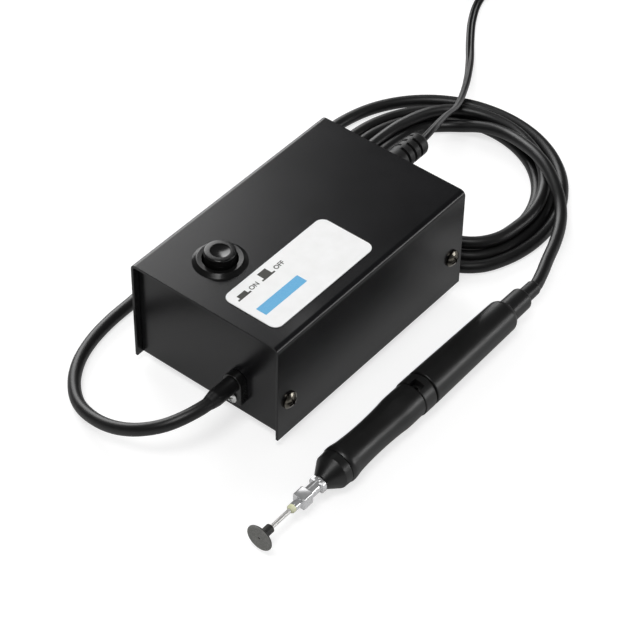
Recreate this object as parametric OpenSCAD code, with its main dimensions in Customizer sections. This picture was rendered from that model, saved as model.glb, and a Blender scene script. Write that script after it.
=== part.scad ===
// Vacuum pick up pen: a small suction pump in a folded sheet case, with a hand pen on a hose.
// Millimetres, +Z up. The origin is on the table below the middle of the case, and the
// front panel with the hose outlet faces -Y. The pen lies beside the case along Y.

/* [View] */
// piece to draw, or all of them

/* [Case] */
// width of the cover
case_w = 60; // [50:1:80]
// depth of the cover
case_d = 95; // [85:1:120]
// height of the cover's sides
case_h = 40; // [36:1:60]
// thickness of the folded sheet
sheet_t = 1; // [0.8:0.1:1.5]
// outside radius of the cover's bends
bend_r = 2; // [1.6:0.1:3]
// outside radius of the chassis bends
chassis_bend_r = 1.6; // [1.6:0.1:3]
// radius of the lower corners of the cover's sides
side_corner_r = 1.5; // [0.5:0.1:3]
// how far the front and rear panels stand inside the cover
panel_inset = 2.5; // [1:0.1:6]
// clearance between the chassis and the cover
slip_gap = 0.2; // [0.1:0.05:0.5]
// height of the cover's lower edge above the chassis underside
cover_lift = 0.5; // [0:0.1:1.5]
// height of the rubber feet
foot_h = 2.5; // [1.5:0.1:5]
// diameter of the rubber feet
foot_d = 9; // [6:0.5:12]
// foot spacing across the case
foot_dx = 40; // [30:1:46]
// foot spacing along the case
foot_dy = 72; // [50:1:78]
// distance of the cover screws from the ends of the cover
screw_inset = 5.5; // [4.5:0.1:8]
// height of the cover screws above the table
screw_z = 17.5; // [12:0.5:30]
// head diameter of the cover screws
screw_head_d = 6; // [5:0.1:7]
// head height of the cover screws
screw_head_h = 2; // [1.2:0.1:3]
// shank diameter of the cover screws
screw_d = 3; // [2.5:0.1:4]
// length of a cover screw below its head
screw_l = 8; // [4:0.5:10]
// length of the chassis tabs that hold the cover screws
tab_l = 7; // [6:0.5:10]
// height of the chassis tabs
tab_h = 14; // [8:0.5:20]

/* [Label] */
// width of the label plate
label_w = 22; // [15:0.5:26]
// length of the label plate
label_l = 48.7; // [30:0.1:60]
// thickness of the label plate
label_t = 0.3; // [0.2:0.05:0.6]
// corner radius of the label plate
label_r = 3; // [1:0.1:5]
// middle of the label plate across the case
label_x = 13.1; // [11:0.1:16]
// middle of the label plate along the case
label_y = -16.7; // [-25:0.1:0]

/* [Switch] */
// middle of the switch across the case
switch_x = -9.4; // [-14:0.1:-9]
// middle of the switch along the case
switch_y = -28.4; // [-30:0.1:-26]
// diameter of the bezel flange
flange_d = 18; // [16:0.1:21]
// thickness of the bezel flange
flange_h = 0.8; // [0.5:0.1:1.5]
// diameter of the raised ring of the bezel
ring_d = 14.7; // [14.2:0.1:15.5]
// height of the raised ring above the cover
ring_h = 1.3; // [1:0.1:2.5]
// outside diameter of the threaded bushing
bush_d = 14; // [13:0.1:14.1]
// length of the bushing below the cover's top face
bush_l = 8; // [6:0.1:9]
// bore of the bezel
well_d = 11.6; // [11.2:0.1:12]
// hexagon size of the nut
nut_af = 17; // [16:0.5:18]
// thickness of the nut
nut_h = 2.5; // [1.5:0.1:4]
// diameter of the button cap
button_d = 10.3; // [9.4:0.1:10.6]
// height of the button above the cover
button_h = 4.4; // [4:0.1:6]
// length of the button cap
cap_l = 7; // [6:0.1:7.4]
// diameter of the button's dished top
dish_d = 6.2; // [4:0.1:8]
// depth of the dish
dish_depth = 0.7; // [0.3:0.05:1]
// diameter of the button stem
stem_d = 5; // [4:0.1:5.6]
// length of the button stem below the cap
stem_l = 9; // [8:0.1:10]
// travel of the button
button_travel = 2.8; // [1:0.1:3]
// width of the switch body
switch_body_w = 15; // [14:0.1:16]
// height of the switch body
switch_body_h = 13; // [13:0.1:14]
// diameter of the return spring between wire middles
spring_d = 7.6; // [7.4:0.1:9]
// wire diameter of the return spring
spring_wire = 0.6; // [0.4:0.05:0.8]
// length of the switch terminals
terminal_l = 6; // [4:0.1:7]

/* [Outlet] */
// middle of the hose outlet across the case
outlet_x = 11.7; // [11.2:0.1:12]
// height of the hose outlet above the table
outlet_z = 17.1; // [16.6:0.1:17.6]
// radius of the outlet block's round top
block_r = 3.6; // [3.2:0.1:5]
// height of the outlet block's lower edge above the table
block_z = 9.2; // [8:0.1:9.4]
// how far the outlet block stands out of the panel
block_t = 3; // [2:0.1:5]
// height of the outlet screw above the table
block_screw_z = 11.6; // [11:0.1:11.8]
// head diameter of the outlet screw
block_screw_head_d = 4.4; // [3.6:0.1:4.6]
// head height of the outlet screw
block_screw_head_h = 1.3; // [0.8:0.1:2]
// shank diameter of the outlet screw
block_screw_d = 2; // [1.6:0.1:2.5]
// outside diameter of the outlet nipple
nipple_d = 3.2; // [2.8:0.1:3.4]
// bore of the outlet nipple
nipple_bore = 2; // [1.2:0.1:2.2]
// outside diameter of the outlet sleeve
sleeve_d = 5.7; // [5.2:0.1:6.4]
// length of the outlet sleeve
sleeve_l = 11; // [8:0.5:11.5]
// depth of the hose seat in the sleeve
sleeve_seat = 6; // [3:0.5:6.5]

/* [Strain relief] */
// middle of the strain relief across the case
relief_x = -1.8; // [-2.4:0.1:-1.4]
// height of the strain relief above the table
relief_z = 35.1; // [34.6:0.1:35.4]
// diameter of the strain relief
relief_d = 8.4; // [8:0.1:9]
// length of the strain relief outside the rear panel
relief_l = 21; // [20:0.1:21.4]
// spacing of its grooves
rib_pitch = 3.2; // [2.8:0.1:3.6]
// width of its grooves
rib_gap = 1.2; // [0.8:0.1:1.6]
// depth of its grooves
rib_depth = 1.5; // [0.8:0.1:1.8]

/* [Pump] */
// thickness of the pump base plate
base_t = 1.5; // [1:0.1:1.6]
// height of the grommets below the base plate
grommet_h = 3.5; // [3.4:0.1:3.6]
// diameter of the grommets
grommet_d = 8; // [6:0.1:8.4]
// shank diameter of the pump screws
pump_screw_d = 3; // [2.5:0.1:3.4]
// stack thickness of the magnet core
core_stack = 14; // [10:0.5:14.5]
// length of the core's legs
core_leg = 11; // [9:0.5:11]
// thickness of the coil winding
winding_t = 2.8; // [2:0.1:2.9]
// air gap between the magnet and the core
air_gap = 1; // [1:0.1:1.5]
// thickness of the armature arm
arm_t = 1.6; // [1:0.1:2]
// width of the armature arm
arm_w = 8; // [5:0.1:8.4]
// diameter of the armature pin
pin_d = 2; // [1.5:0.1:2.2]
// diameter of the diaphragm's moving dome
dome_d = 11.6; // [10:0.1:11.8]
// thickness of the diaphragm sheet
diaphragm_t = 0.8; // [0.5:0.05:0.9]
// diameter of the diaphragm stud
stud_d = 2.4; // [2:0.1:2.6]
// diameter of the valve flaps
flap_d = 5.4; // [4:0.1:5.6]
// diameter of the insulated wires
wire_d = 1.4; // [1:0.1:1.6]

/* [Pen] */
// diameter of the suction pad
pad_d = 9.4; // [6:0.1:12]
// thickness of the suction pad
pad_t = 0.9; // [0.6:0.1:1.4]
// diameter of the pad's boss
boss_d = 3.1; // [2.6:0.1:4]
// length of the pad with its boss
boss_l = 5.5; // [4:0.1:7]
// diameter of the suction hole in the pad
pad_hole = 0.8; // [0.5:0.1:1]
// outside diameter of the needle tube
needle_d = 1.47; // [1:0.01:1.6]
// bore of the needle tube
needle_bore = 0.84; // [0.5:0.01:0.9]
// bare length of the needle
needle_l = 9.1; // [6:0.1:20]
// diameter of the sealing bead
bead_d = 2.9; // [2.2:0.1:3.2]
// length of the sealing bead
bead_l = 1.4; // [1:0.1:2]
// diameter of the hub's neck
neck_d = 3; // [2.5:0.1:3.4]
// length of the hub's neck
neck_l = 2.7; // [1:0.1:3]
// width of the hub's square body
hub_w = 4.7; // [4.4:0.1:5.4]
// length of the hub's square body
hub_l = 4.3; // [4:0.1:7]
// diameter of the hub's waist
waist_d = 4; // [3.8:0.1:4.4]
// length of the hub's waist
waist_l = 3.6; // [2:0.1:5]
// diameter of the hub's flange
hub_flange_d = 6; // [5:0.1:7]
// length of the hub's flange
hub_flange_l = 2.5; // [1.5:0.1:3]
// gap between the hub and the nose cone
nose_gap = 0.2; // [0.1:0.05:0.5]
// diameter of the nose cone's tip
nose_tip_d = 5.4; // [4.4:0.1:6]
// diameter of the nose cone's base
nose_d = 12.2; // [11.6:0.1:12.4]
// length of the nose cone
nose_l = 5.6; // [4:0.1:8]
// length of the land behind the nose cone
land_l = 2.9; // [1:0.1:4]
// diameter of the vent collar
collar_d = 12.8; // [12:0.1:13]
// length of the vent collar
collar_l = 5.5; // [4:0.1:8]
// length of the finger window along the pen
window_l = 3; // [2:0.1:4]
// width of the finger window around the pen
window_w = 4; // [3:0.1:5]
// turn of the finger window from +X towards +Z
window_turn = 82; // [0:1:180]
// diameter of the barrel at its front
barrel_d = 12.8; // [12:0.1:13]
// diameter of the barrel at its rear
barrel_end_d = 11.4; // [10.6:0.1:12]
// length of the barrel with its front groove
barrel_l = 45.9; // [40:0.1:60]
// radius of the barrel's rounded rear edge
barrel_round = 3; // [1:0.1:3.4]
// diameter of the tail plug
tail_d = 8.2; // [7:0.1:9]
// length of the tail plug behind the barrel
tail_l = 9.6; // [7:0.1:12]
// outside diameter of the tail sleeve
tail_sleeve_d = 5.3; // [5.2:0.1:6]
// length of the tail sleeve
tail_sleeve_l = 6.8; // [5:0.1:9]
// outside diameter of the core tube
core_d = 8; // [7:0.1:8.4]
// bore of the pen's air way
air_bore = 2.5; // [1.8:0.1:2.6]

/* [Hose] */
// outside diameter of the hose
hose_d = 4.4; // [4:0.1:4.6]
// outside radius of the hose coil
coil_r = 48.1; // [44:0.1:49]
// width of the coil's strands side by side
coil_w = 15; // [12:0.1:16]
// middle of the coil across the case
coil_x = -8.1; // [-9:0.1:-7]
// middle of the coil along the case
coil_y = 82.6; // [82:0.1:86]
// front edge of the coil behind the case
coil_front = 49; // [48.5:0.1:52]
// corner radius of the coil's flattened front
coil_corner = 20; // [17:0.5:24]

/* [Power cord] */
// width of the flat twin cord
cord_w = 3.2; // [2.8:0.1:3.4]
// thickness of the flat twin cord
cord_t = 1.8; // [1.5:0.1:2]
// radius of the cord coil at the middle of its turns
bundle_r = 18; // [16:0.5:20]
// thickness of the cord coil
bundle_d = 8.6; // [7:0.1:9.4]
// middle of the cord coil across the case
bundle_x = -84; // [-90:1:-84]
// middle of the cord coil along the case
bundle_y = 202; // [202:1:210]
// thickness of the tie
tie_t = 0.5; // [0.3:0.1:0.8]
// width of the tie
tie_w = 5; // [3:0.5:8]
// length of the plug body
plug_l = 22; // [18:0.5:28]
// width of the plug body
plug_w = 16; // [14:0.5:20]
// height of the plug body
plug_h = 10; // [8:0.5:14]
// length of the plug blades
blade_l = 16; // [14:0.5:18]
// spacing of the plug blades
blade_gap = 12.7; // [10:0.1:13]
// width of the plug blades
blade_w = 6.3; // [5:0.1:7]
// thickness of the plug blades
blade_t = 1.5; // [1.2:0.1:2]

/* [Hidden] */

$fn = 64;
fit = 0.05; // radial clearance of a close fit
hole_fit = 0.1; // radial clearance of a screw in a plain hole
cut = 0.5; // how far a cut runs past a face

// colours
c_paint = [0.09, 0.09, 0.095];
c_black = [0.06, 0.06, 0.06];
c_rubber = [0.12, 0.12, 0.12];
c_steel = [0.62, 0.62, 0.64];
c_chrome = [0.82, 0.83, 0.85];
c_white = [0.92, 0.92, 0.92];
c_copper = [0.6, 0.3, 0.15];
c_tan = [0.7, 0.62, 0.45];

// levels of the case
cover_z = foot_h + cover_lift;
top_z = cover_z + case_h;
deck_z = foot_h + sheet_t;
panel_y = case_d / 2 - panel_inset;
inner_y = panel_y - sheet_t;
panel_top = top_z - sheet_t - slip_gap;
chassis_w = case_w - 2 * (sheet_t + slip_gap);
screw_y = case_d / 2 - screw_inset;

// levels of the switch
button_top = top_z + button_h;
cap_z = button_top - cap_l;
body_top = top_z - bush_l;
body_z = body_top - switch_body_h;
stem_z = cap_z - stem_l;
stem_hole_z = stem_z - button_travel - 0.4;
terminal_dx = 3.5;
terminal_w = 3;
terminal_t = 0.8;

// outlet stations along -Y
block_y = -panel_y - block_t;
sleeve_y = block_y - sleeve_l;
seat_y = sleeve_y + sleeve_seat;
nipple_in_y = -inner_y + 9;
nipple_flange_d = 6;
nipple_flange_t = 1;

// strain relief
relief_hole_d = 7;
relief_flange_d = 10;
relief_flange_t = 2.5;
relief_y = panel_y + relief_l;
relief_in_y = inner_y - relief_flange_t;
relief_nose = 2.5;
rib_count = 3;

// pump plan: the arm, magnet and core share the plane x = pump_x
pump_x = -3;
base_z = deck_z + grommet_h;
base_top = base_z + base_t;
base_x0 = -20;
base_x1 = 19;
base_y0 = -14;
base_gap = 4;
base_y1 = inner_y - base_gap;
grommet_edge = 4;
grommet_pos = [
    for (y = [base_y0 + grommet_edge, base_y1 - grommet_edge])
        for (x = [base_x0 + grommet_edge, base_x1 - grommet_edge]) [x, y]
];
grommet_neck_d = 5;
grommet_cap_h = 1.5;
grommet_top = base_top + grommet_cap_h;
pump_head_d = 5.6;
pump_head_h = 2;

// magnet core: an E standing on its side, legs towards -Y
core_y0 = 22;
core_h = 26;
core_mid = base_top + core_h / 2;
leg_h = 5;
mid_leg_h = 8;
yoke_t = 5;
core_y1 = core_y0 + core_leg + yoke_t;
bobbin_wall = 0.8;
bobbin_y0 = core_y0 + 0.6;
bobbin_y1 = core_y0 + core_leg - 0.2;
bobbin_in_w = core_stack + 0.2;
bobbin_in_h = mid_leg_h + 0.2;
tube_w = bobbin_in_w + 2 * bobbin_wall;
tube_h = bobbin_in_h + 2 * bobbin_wall;
core_screw_d = 2.5;
core_screw_head_d = 4.6;
core_screw_head_h = 1.8;
coil_air = 0.4;
core_screw_dx = 4.5;

// armature: hinge along X at the front, magnet at the rear
hinge_y = -8;
hinge_z = core_mid;
eye_d = 5;
ear_t = 2;
ear_gap = 0.3;
ear_l = 6;
arm_end_y = core_y0 - air_gap - 6.5;
plate_t = 1.5;
magnet_s = 12;
magnet_t = 5;

// valve chamber below the arm
chamber_y0 = -4;
chamber_y1 = 14;
chamber_s = chamber_y1 - chamber_y0;
chamber_x0 = pump_x - chamber_s / 2;
chamber_x1 = pump_x + chamber_s / 2;
chamber_h = 5.5;
chamber_top = base_top + chamber_h;
manifold_x0 = chamber_x1 + 0.5;
manifold_x1 = 16;
manifold_top = outlet_z + 4.9;
dome_y = (chamber_y0 + chamber_y1) / 2;
well_depth = 4;
passage_d = 2;
passage_z = chamber_top - 2.6;
flap_y = [0.5, 9.5];
pocket_d = flap_d + 0.8;
pocket_x = 13.5;
flap_t = 0.5;
clamp_screw_in = 3;
chamber_screw_in = 4;
screw_edge = 1.5;
cover_plate_t = 2;
small_screw_d = 1.6;
small_head_d = 3;
small_head_h = 1;
clamp_t = 1.2;
clamp_in = 7;
clamp_z = chamber_top + diaphragm_t;
dome_z = chamber_top + 3;
dome_mid_d = 6.4;
stud_head_d = 5;
stud_head_t = 0.8;
nipple2_l = 8;
hose_id = nipple_d + 2 * fit;
tube_od = 5.2;

// pen stations along the pen, from the pad's face
s_bead = boss_l + needle_l;
s_neck = s_bead + bead_l;
s_hub = s_neck + neck_l;
s_waist = s_hub + hub_l;
s_flange = s_waist + waist_l;
s_hub_end = s_flange + hub_flange_l;
s_nose = s_hub_end + nose_gap;
s_land = s_nose + nose_l;
s_grip = s_land + land_l;
// outline of the grip: distance behind its front, radius
grip_shape = [
    [0, 6.3], [1.2, 6.5], [4.7, 6.05], [8.5, 5.75], [15.9, 5.55],
    [21.7, 5.65], [25.7, 5.85], [28.7, 6.1], [36.9, 6.05]
];
grip_l = grip_shape[len(grip_shape) - 1][0];
s_collar = s_grip + grip_l;
s_barrel = s_collar + collar_l;
s_tail = s_barrel + barrel_l;
s_sleeve = s_tail + tail_l;
s_end = s_sleeve + tail_sleeve_l;
pen_x = 53;
pen_y = -84;
pen_z = 6.55;
groove_w = 0.7;
groove_d = 11.2;
taper_d0 = 2.4;
taper_d1 = 2.9;
taper_l = 6.6;
needle_seat = 4.2;
spigot_d = 7.6;
spigot_l = 7.4;
seal_d = 0.76;
seal_groove = 0.5;
seal_bore = spigot_d - 2 * seal_groove + 2 * seal_d + 2 * fit;
nose_bore = 1.6;
tip_gap = 0.3;
seal_s = s_grip + 1.6;
core_s0 = s_grip + spigot_l;
plug_spigot_d = 6;
plug_spigot_l = 14;
core_gap = 2;
core_l = s_tail - plug_spigot_l - core_gap - core_s0;
tail_round = 1.5;
tail_nipple_d = 3.2;
tail_nipple_bore = 1.8;
tail_nipple_in = 6;
hose_seat_l = 3.2;
hose_end_s = s_end - hose_seat_l;
bleed_d = 1.6;
pad_web = 0.7;
pad_fillet = 0.6;

// hose routes on the table, hand chosen
lead_z = hose_d * 1.5 + 0.1;
floor_z = hose_d / 2;
front_route = [
    [outlet_x, seat_y, outlet_z], [outlet_x, sleeve_y, outlet_z],
    [10.2, -65.5, 16.6], [6, -72.5, 14.6], [-0.5, -77, 11.8], [-9, -79.2, 8.6], [-18.5, -79, 6],
    [-28, -76.2, 4.2], [-36, -70, 3.1], [-42, -61.5, 2.5], [-45.8, -51, floor_z], [-47.3, -41, floor_z],
    [-47.7, -30, floor_z], [-48.2, -17, floor_z], [-48.8, -4, floor_z], [-49.4, 9, floor_z],
    [-50, 22, floor_z], [-50.7, 35, floor_z], [-51.5, 48, floor_z], [-52.4, 60, floor_z],
    [-53, 72, floor_z]
];
lead_route = [
    [-39, 84, floor_z], [-34.5, 93.5, floor_z], [-28.3, 102.3, floor_z], [-21.1, 110.4, 3.2],
    [-11, 116.3, 5.8], [2, 115.6, lead_z], [14.2, 111.2, 9.8], [20.4, 108.3, 10.5], [26.3, 104.9, 10.2],
    [31, 101.7, 9.1], [35.4, 98, 7.8], [39, 93.6, 7], [42.9, 87, 6.6], [45.7, 80.5, 6.3], [48.6, 72, 6.2],
    [51.5, 64, 6.4],
    [pen_x, pen_y + s_end, pen_z], [pen_x, pen_y + hose_end_s, pen_z]
];
hole_shift = 2.3;

// power cord route, hand chosen
cord_z = cord_t / 2;
cord_route = [
    [relief_x, relief_in_y, relief_z], [relief_x, relief_y, relief_z], [-4, 74.5, 33],
    [-8.5, 85.5, 27.5], [-13, 96.5, 21.5], [-17, 107, 15.5], [-21, 115.5, 11.2], [-24.8, 123, 8.3],
    [-28.8, 130.5, 6], [-33.5, 138.5, 4], [-39, 147, 2.4], [-46.5, 157.5, cord_z], [-54, 167.5, cord_z],
    [-60.5, 177, cord_z], [-64.8, 187, 1.6], [-66, 197, 3]
];
bundle_z = bundle_d / 2 + tie_t;
plug_y = bundle_y + 14;
plug_x = bundle_x + 2;
plug_z = bundle_z + bundle_d / 2 + 0.2;
plug_nose = 8;
plug_nose_d = 6;
tail_route = [
    [bundle_x + bundle_r, bundle_y, bundle_z + bundle_d / 2 + 0.4],
    [bundle_x + bundle_r - 1.5, bundle_y + 5.5, plug_z + 2.6],
    [bundle_x + bundle_r - 5.5, bundle_y + 10.5, plug_z + 4.2],
    [plug_x + plug_nose + 1.5, plug_y, plug_z + plug_h / 2],
    [plug_x + plug_nose, plug_y, plug_z + plug_h / 2]
];

// wire routes inside the case, hand chosen
wire_dx = 0.8;
wire_end_z = body_z - terminal_l + 0.4;
winding_x = pump_x - tube_w / 2 - winding_t;
live_route = [
    [relief_x + wire_dx, relief_in_y, relief_z], [relief_x + wire_dx, relief_in_y - 1, relief_z],
    [-5.5, 36, 37.5], [-13, 26, 38], [-20, 12, 36],
    [-22, -4, 30], [-20.5, -17, 21], [-17, -25, 14], [switch_x - terminal_dx, switch_y, wire_end_z]
];
neutral_route = [
    [relief_x - wire_dx, relief_in_y, relief_z], [relief_x - wire_dx, relief_in_y - 0.6, relief_z],
    [-6, 39.6, 36], [-13, 37.5, 35], [-18.5, 33, 29.5],
    [-18.4, 29.5, 25], [winding_x + 0.3, 28, 22.5]
];
switch_route = [
    [switch_x + terminal_dx, switch_y, wire_end_z], [-9, -20.5, 12.4], [-17, -15.5, 13.5],
    [-22, -6, 16], [-22.8, 6, 18], [-21.5, 18, 19.5], [-18.2, 25, 20], [winding_x + 0.3, 27, 20]
];

// point on a smooth curve between b and c
function curve(a, b, c, d, t) =
    0.5 * (2 * b + (c - a) * t + (2 * a - 5 * b + 4 * c - d) * t * t + (3 * b - a - 3 * c + d) * t * t * t);

// smooth outline through the points p, n steps between neighbours
function smooth(p, n) = let (last = len(p) - 1) concat(
    [for (i = [0:last - 1], k = [0:n - 1])
        curve(p[max(i - 1, 0)], p[i], p[i + 1], p[min(i + 2, last)], k / n)],
    [p[last]]);

// arc from angle a0 to a1 about c
function arc(c, r, a0, a1, n) = [for (k = [0:n]) let (a = a0 + (a1 - a0) * k / n) c + r * [cos(a), sin(a)]];

// direction of a route at its point i
function heading(p, i) = let (d = p[min(i + 1, len(p) - 1)] - p[max(i - 1, 0)]) d / norm(d);

// ring of n points around point i of a route, a wide and b high from its middle
function hoop(p, i, a, b, n) = let (
    t = heading(p, i), w = cross([0, 0, 1], t), s = w / norm(w), u = cross(t, s))
    [for (k = [0:n - 1]) p[i] + s * a * cos(360 * k / n) + u * b * sin(360 * k / n)];

// solid swept along a route, closed at both ends
module swept(p, a, b, n = 8) {
    m = len(p);
    polyhedron(
        points = [for (i = [0:m - 1]) each hoop(p, i, a, b, n)],
        faces = concat(
            [[for (k = [0:n - 1]) k]],
            [[for (k = [n - 1:-1:0]) (m - 1) * n + k]],
            [for (i = [0:m - 2], k = [0:n - 1]) [i * n + k, (i + 1) * n + k, (i + 1) * n + (k + 1) % n]],
            [for (i = [0:m - 2], k = [0:n - 1])
                [i * n + k, (i + 1) * n + (k + 1) % n, i * n + (k + 1) % n]]));
}

// child drawn along +Z is laid along +Y
module along_y(x, y, z) translate([x, y, z]) rotate([-90, 0, 0]) children();

// child drawn along +Z is laid along +X
module along_x(x, y, z) translate([x, y, z]) rotate([0, 90, 0]) children();

// child drawn along +Z from the pad's face is laid along the pen
module in_pen() along_y(pen_x, pen_y, pen_z) children();

// flat outline with round corners
module round_rect(w, d, r) {
    square([w - 2 * r, d], center = true);
    square([w, d - 2 * r], center = true);
    for (x = [-1, 1], y = [-1, 1]) translate([x * (w / 2 - r), y * (d / 2 - r)]) circle(r);
}

// round body with a bore, between two heights
module pipe(d, bore, z0, z1) translate([0, 0, z0]) difference() {
    cylinder(d = d, h = z1 - z0);
    translate([0, 0, -cut]) cylinder(d = bore, h = z1 - z0 + 2 * cut);
}

// pan head screw: the head's seat is at 0 and the shank runs down
module pan_screw(head_d, head_h, d, l) {
    edge = head_h * 0.45;
    difference() {
        rotate_extrude() polygon(concat(
            [[0, 0], [head_d / 2, 0], [head_d / 2, head_h - edge]],
            arc([head_d / 2 - edge, head_h - edge], edge, 0, 90, 6), [[0, head_h]]));
        for (a = [0, 90]) rotate([0, 0, a + 45]) translate([0, 0, head_h])
            cube([head_d * 0.55, head_d * 0.16, head_h * 0.9], center = true);
    }
    translate([0, 0, -l]) cylinder(d = d, h = l);
}

// places of the cover screws: side, end
module at_cover_screws() for (x = [-1, 1], y = [-1, 1])
    translate([x * case_w / 2, y * screw_y, screw_z]) rotate([0, x * 90, 0]) children();

// folded section of the cover, an upside-down U
module cover_shell(inset) {
    w = case_w - 2 * inset;
    r = bend_r - inset;
    h = case_h - inset;
    translate([-w / 2, cover_z]) square([w, h - r]);
    translate([r - w / 2, cover_z]) square([w - 2 * r, h]);
    for (x = [-1, 1]) translate([x * (w / 2 - r), cover_z + h - r]) circle(r);
}

// side outline of the cover with round lower corners
module cover_side() {
    r = side_corner_r;
    translate([-case_d / 2, cover_z + r]) square([case_d, case_h]);
    translate([r - case_d / 2, cover_z]) square([case_d - 2 * r, case_h]);
    for (y = [-1, 1]) translate([y * (case_d / 2 - r), cover_z + r]) circle(r);
}

module cover() color(c_paint) difference() {
    intersection() {
        translate([0, case_d / 2, 0]) rotate([90, 0, 0]) linear_extrude(case_d) difference() {
            cover_shell(0);
            cover_shell(sheet_t);
            translate([sheet_t - case_w / 2, cover_z - cut]) square([case_w - 2 * sheet_t, 2 * cut]);
        }
        translate([-case_w / 2, 0, 0]) rotate([90, 0, 90]) linear_extrude(case_w) cover_side();
    }
    translate([switch_x, switch_y, top_z - 2 * sheet_t]) cylinder(d = bush_d + 2 * hole_fit, h = 4 * sheet_t);
    at_cover_screws() translate([0, 0, -2 * sheet_t]) cylinder(d = screw_d + 2 * hole_fit, h = 4 * sheet_t);
}

// side section of the chassis, a U with round bends, moved in by inset
module chassis_shell(inset) {
    w = 2 * (panel_y - inset);
    r = chassis_bend_r - inset;
    z = foot_h + inset;
    translate([-w / 2, z + r]) square([w, panel_top - z - r]);
    translate([r - w / 2, z]) square([w - 2 * r, r + cut]);
    for (y = [-1, 1]) translate([y * (w / 2 - r), z + r]) circle(r);
}

module chassis() color(c_paint) difference() {
    union() {
        translate([-chassis_w / 2, 0, 0]) rotate([90, 0, 90]) linear_extrude(chassis_w) difference() {
            chassis_shell(0);
            chassis_shell(sheet_t);
            translate([-inner_y, panel_top - cut]) square([2 * inner_y, 2 * cut]);
        }
        for (x = [-1, 1], y = [-1, 1])
            translate([x * (chassis_w - sheet_t) / 2, y * (inner_y - tab_l / 2), screw_z])
                cube([sheet_t, tab_l + sheet_t, tab_h], center = true);
    }
    at_cover_screws() translate([0, 0, -screw_l]) cylinder(d = screw_d + 2 * fit, h = screw_l);
    for (p = grommet_pos) translate([p[0], p[1], foot_h - cut])
        cylinder(d = pump_screw_d + 2 * fit, h = sheet_t + 2 * cut);
    along_y(outlet_x, -panel_y - cut, outlet_z) cylinder(d = nipple_d + 2 * hole_fit, h = sheet_t + 2 * cut);
    along_y(outlet_x, -panel_y - cut, block_screw_z)
        cylinder(d = block_screw_d + 2 * fit, h = sheet_t + 2 * cut);
    along_y(relief_x, inner_y - cut, relief_z) cylinder(d = relief_hole_d, h = sheet_t + 2 * cut);
}

module cover_screws() color(c_steel) at_cover_screws()
    pan_screw(screw_head_d, screw_head_h, screw_d, screw_l);

module feet() color(c_rubber) for (x = [-1, 1], y = [-1, 1])
    translate([x * foot_dx / 2, y * foot_dy / 2, 0]) cylinder(d1 = foot_d - 1, d2 = foot_d, h = foot_h);

module label_plate() color(c_white) translate([label_x, label_y, top_z])
    linear_extrude(label_t) round_rect(label_w, label_l, label_r);

module switch_bezel() color(c_black) {
    bevel = flange_h * 0.6;
    land = ring_d / 2 - 0.6;
    translate([switch_x, switch_y, top_z]) rotate_extrude() polygon([
        [well_d / 2, -bush_l], [bush_d / 2, -bush_l], [bush_d / 2, 0], [flange_d / 2, 0],
        [flange_d / 2, flange_h - bevel], [flange_d / 2 - 2 * bevel, flange_h], [ring_d / 2, flange_h],
        [land, ring_h], [well_d / 2, ring_h]
    ]);
}

module switch_nut() color(c_steel) translate([switch_x, switch_y, top_z - sheet_t - nut_h]) difference() {
    cylinder(d = nut_af / cos(30), h = nut_h, $fn = 6);
    translate([0, 0, -cut]) cylinder(d = bush_d + 2 * fit, h = nut_h + 2 * cut);
}

module switch_body() color(c_black) translate([switch_x, switch_y, 0]) difference() {
    translate([0, 0, body_z + switch_body_h / 2])
        cube([switch_body_w, switch_body_w, switch_body_h], center = true);
    translate([0, 0, stem_hole_z]) cylinder(d = stem_d + 2 * fit, h = top_z);
}

module switch_terminals() color(c_steel) for (x = [-1, 1])
    translate([switch_x + x * terminal_dx, switch_y, body_z - terminal_l / 2])
        cube([terminal_t, terminal_w, terminal_l], center = true);

module switch_spring() color(c_steel) {
    turns = 3;
    steps = 14;
    z0 = body_top + spring_wire / 2 + 0.1;
    z1 = cap_z - spring_wire / 2 - 0.1;
    swept([for (k = [0:turns * steps]) let (a = 360 * k / steps) [
        switch_x + spring_d / 2 * cos(a), switch_y + spring_d / 2 * sin(a),
        z0 + (z1 - z0) * k / (turns * steps)]], spring_wire / 2, spring_wire / 2, 6);
}

module switch_button() color(c_black) {
    edge = 0.6;
    bowl_r = (dish_d * dish_d / 4 + dish_depth * dish_depth) / (2 * dish_depth);
    bowl_a = asin(dish_d / 2 / bowl_r);
    translate([switch_x, switch_y, 0]) rotate_extrude() polygon(concat(
        [[0, stem_z], [stem_d / 2, stem_z], [stem_d / 2, cap_z], [button_d / 2, cap_z]],
        arc([button_d / 2 - edge, button_top - edge], edge, 0, 90, 6),
        arc([0, button_top - dish_depth + bowl_r], bowl_r, bowl_a - 90, -90, 10)));
}

module outlet_block() color(c_black) difference() {
    translate([outlet_x, -panel_y, 0]) rotate([90, 0, 0]) linear_extrude(block_t) {
        translate([0, outlet_z]) circle(block_r);
        translate([-block_r, block_z]) square([2 * block_r, outlet_z - block_z]);
    }
    along_y(outlet_x, block_y - cut, outlet_z) cylinder(d = nipple_d + 2 * fit, h = block_t + 2 * cut);
    along_y(outlet_x, block_y - cut, block_screw_z)
        cylinder(d = block_screw_d + 2 * fit, h = block_t + 2 * cut);
}

module outlet_screw() color(c_chrome) translate([outlet_x, block_y, block_screw_z]) rotate([90, 0, 0])
    pan_screw(block_screw_head_d, block_screw_head_h, block_screw_d, block_t + 2 * sheet_t);

module outlet_nipple() color(c_steel) along_y(outlet_x, 0, outlet_z) {
    pipe(nipple_d, nipple_bore, seat_y, nipple_in_y);
    pipe(nipple_flange_d, nipple_d - fit, -inner_y, nipple_flange_t - inner_y);
}

module outlet_sleeve() color(c_black) along_y(outlet_x, 0, outlet_z) {
    pipe(sleeve_d, hose_d + 2 * fit, sleeve_y, seat_y);
    pipe(sleeve_d, hose_id, seat_y, block_y);
}

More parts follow.
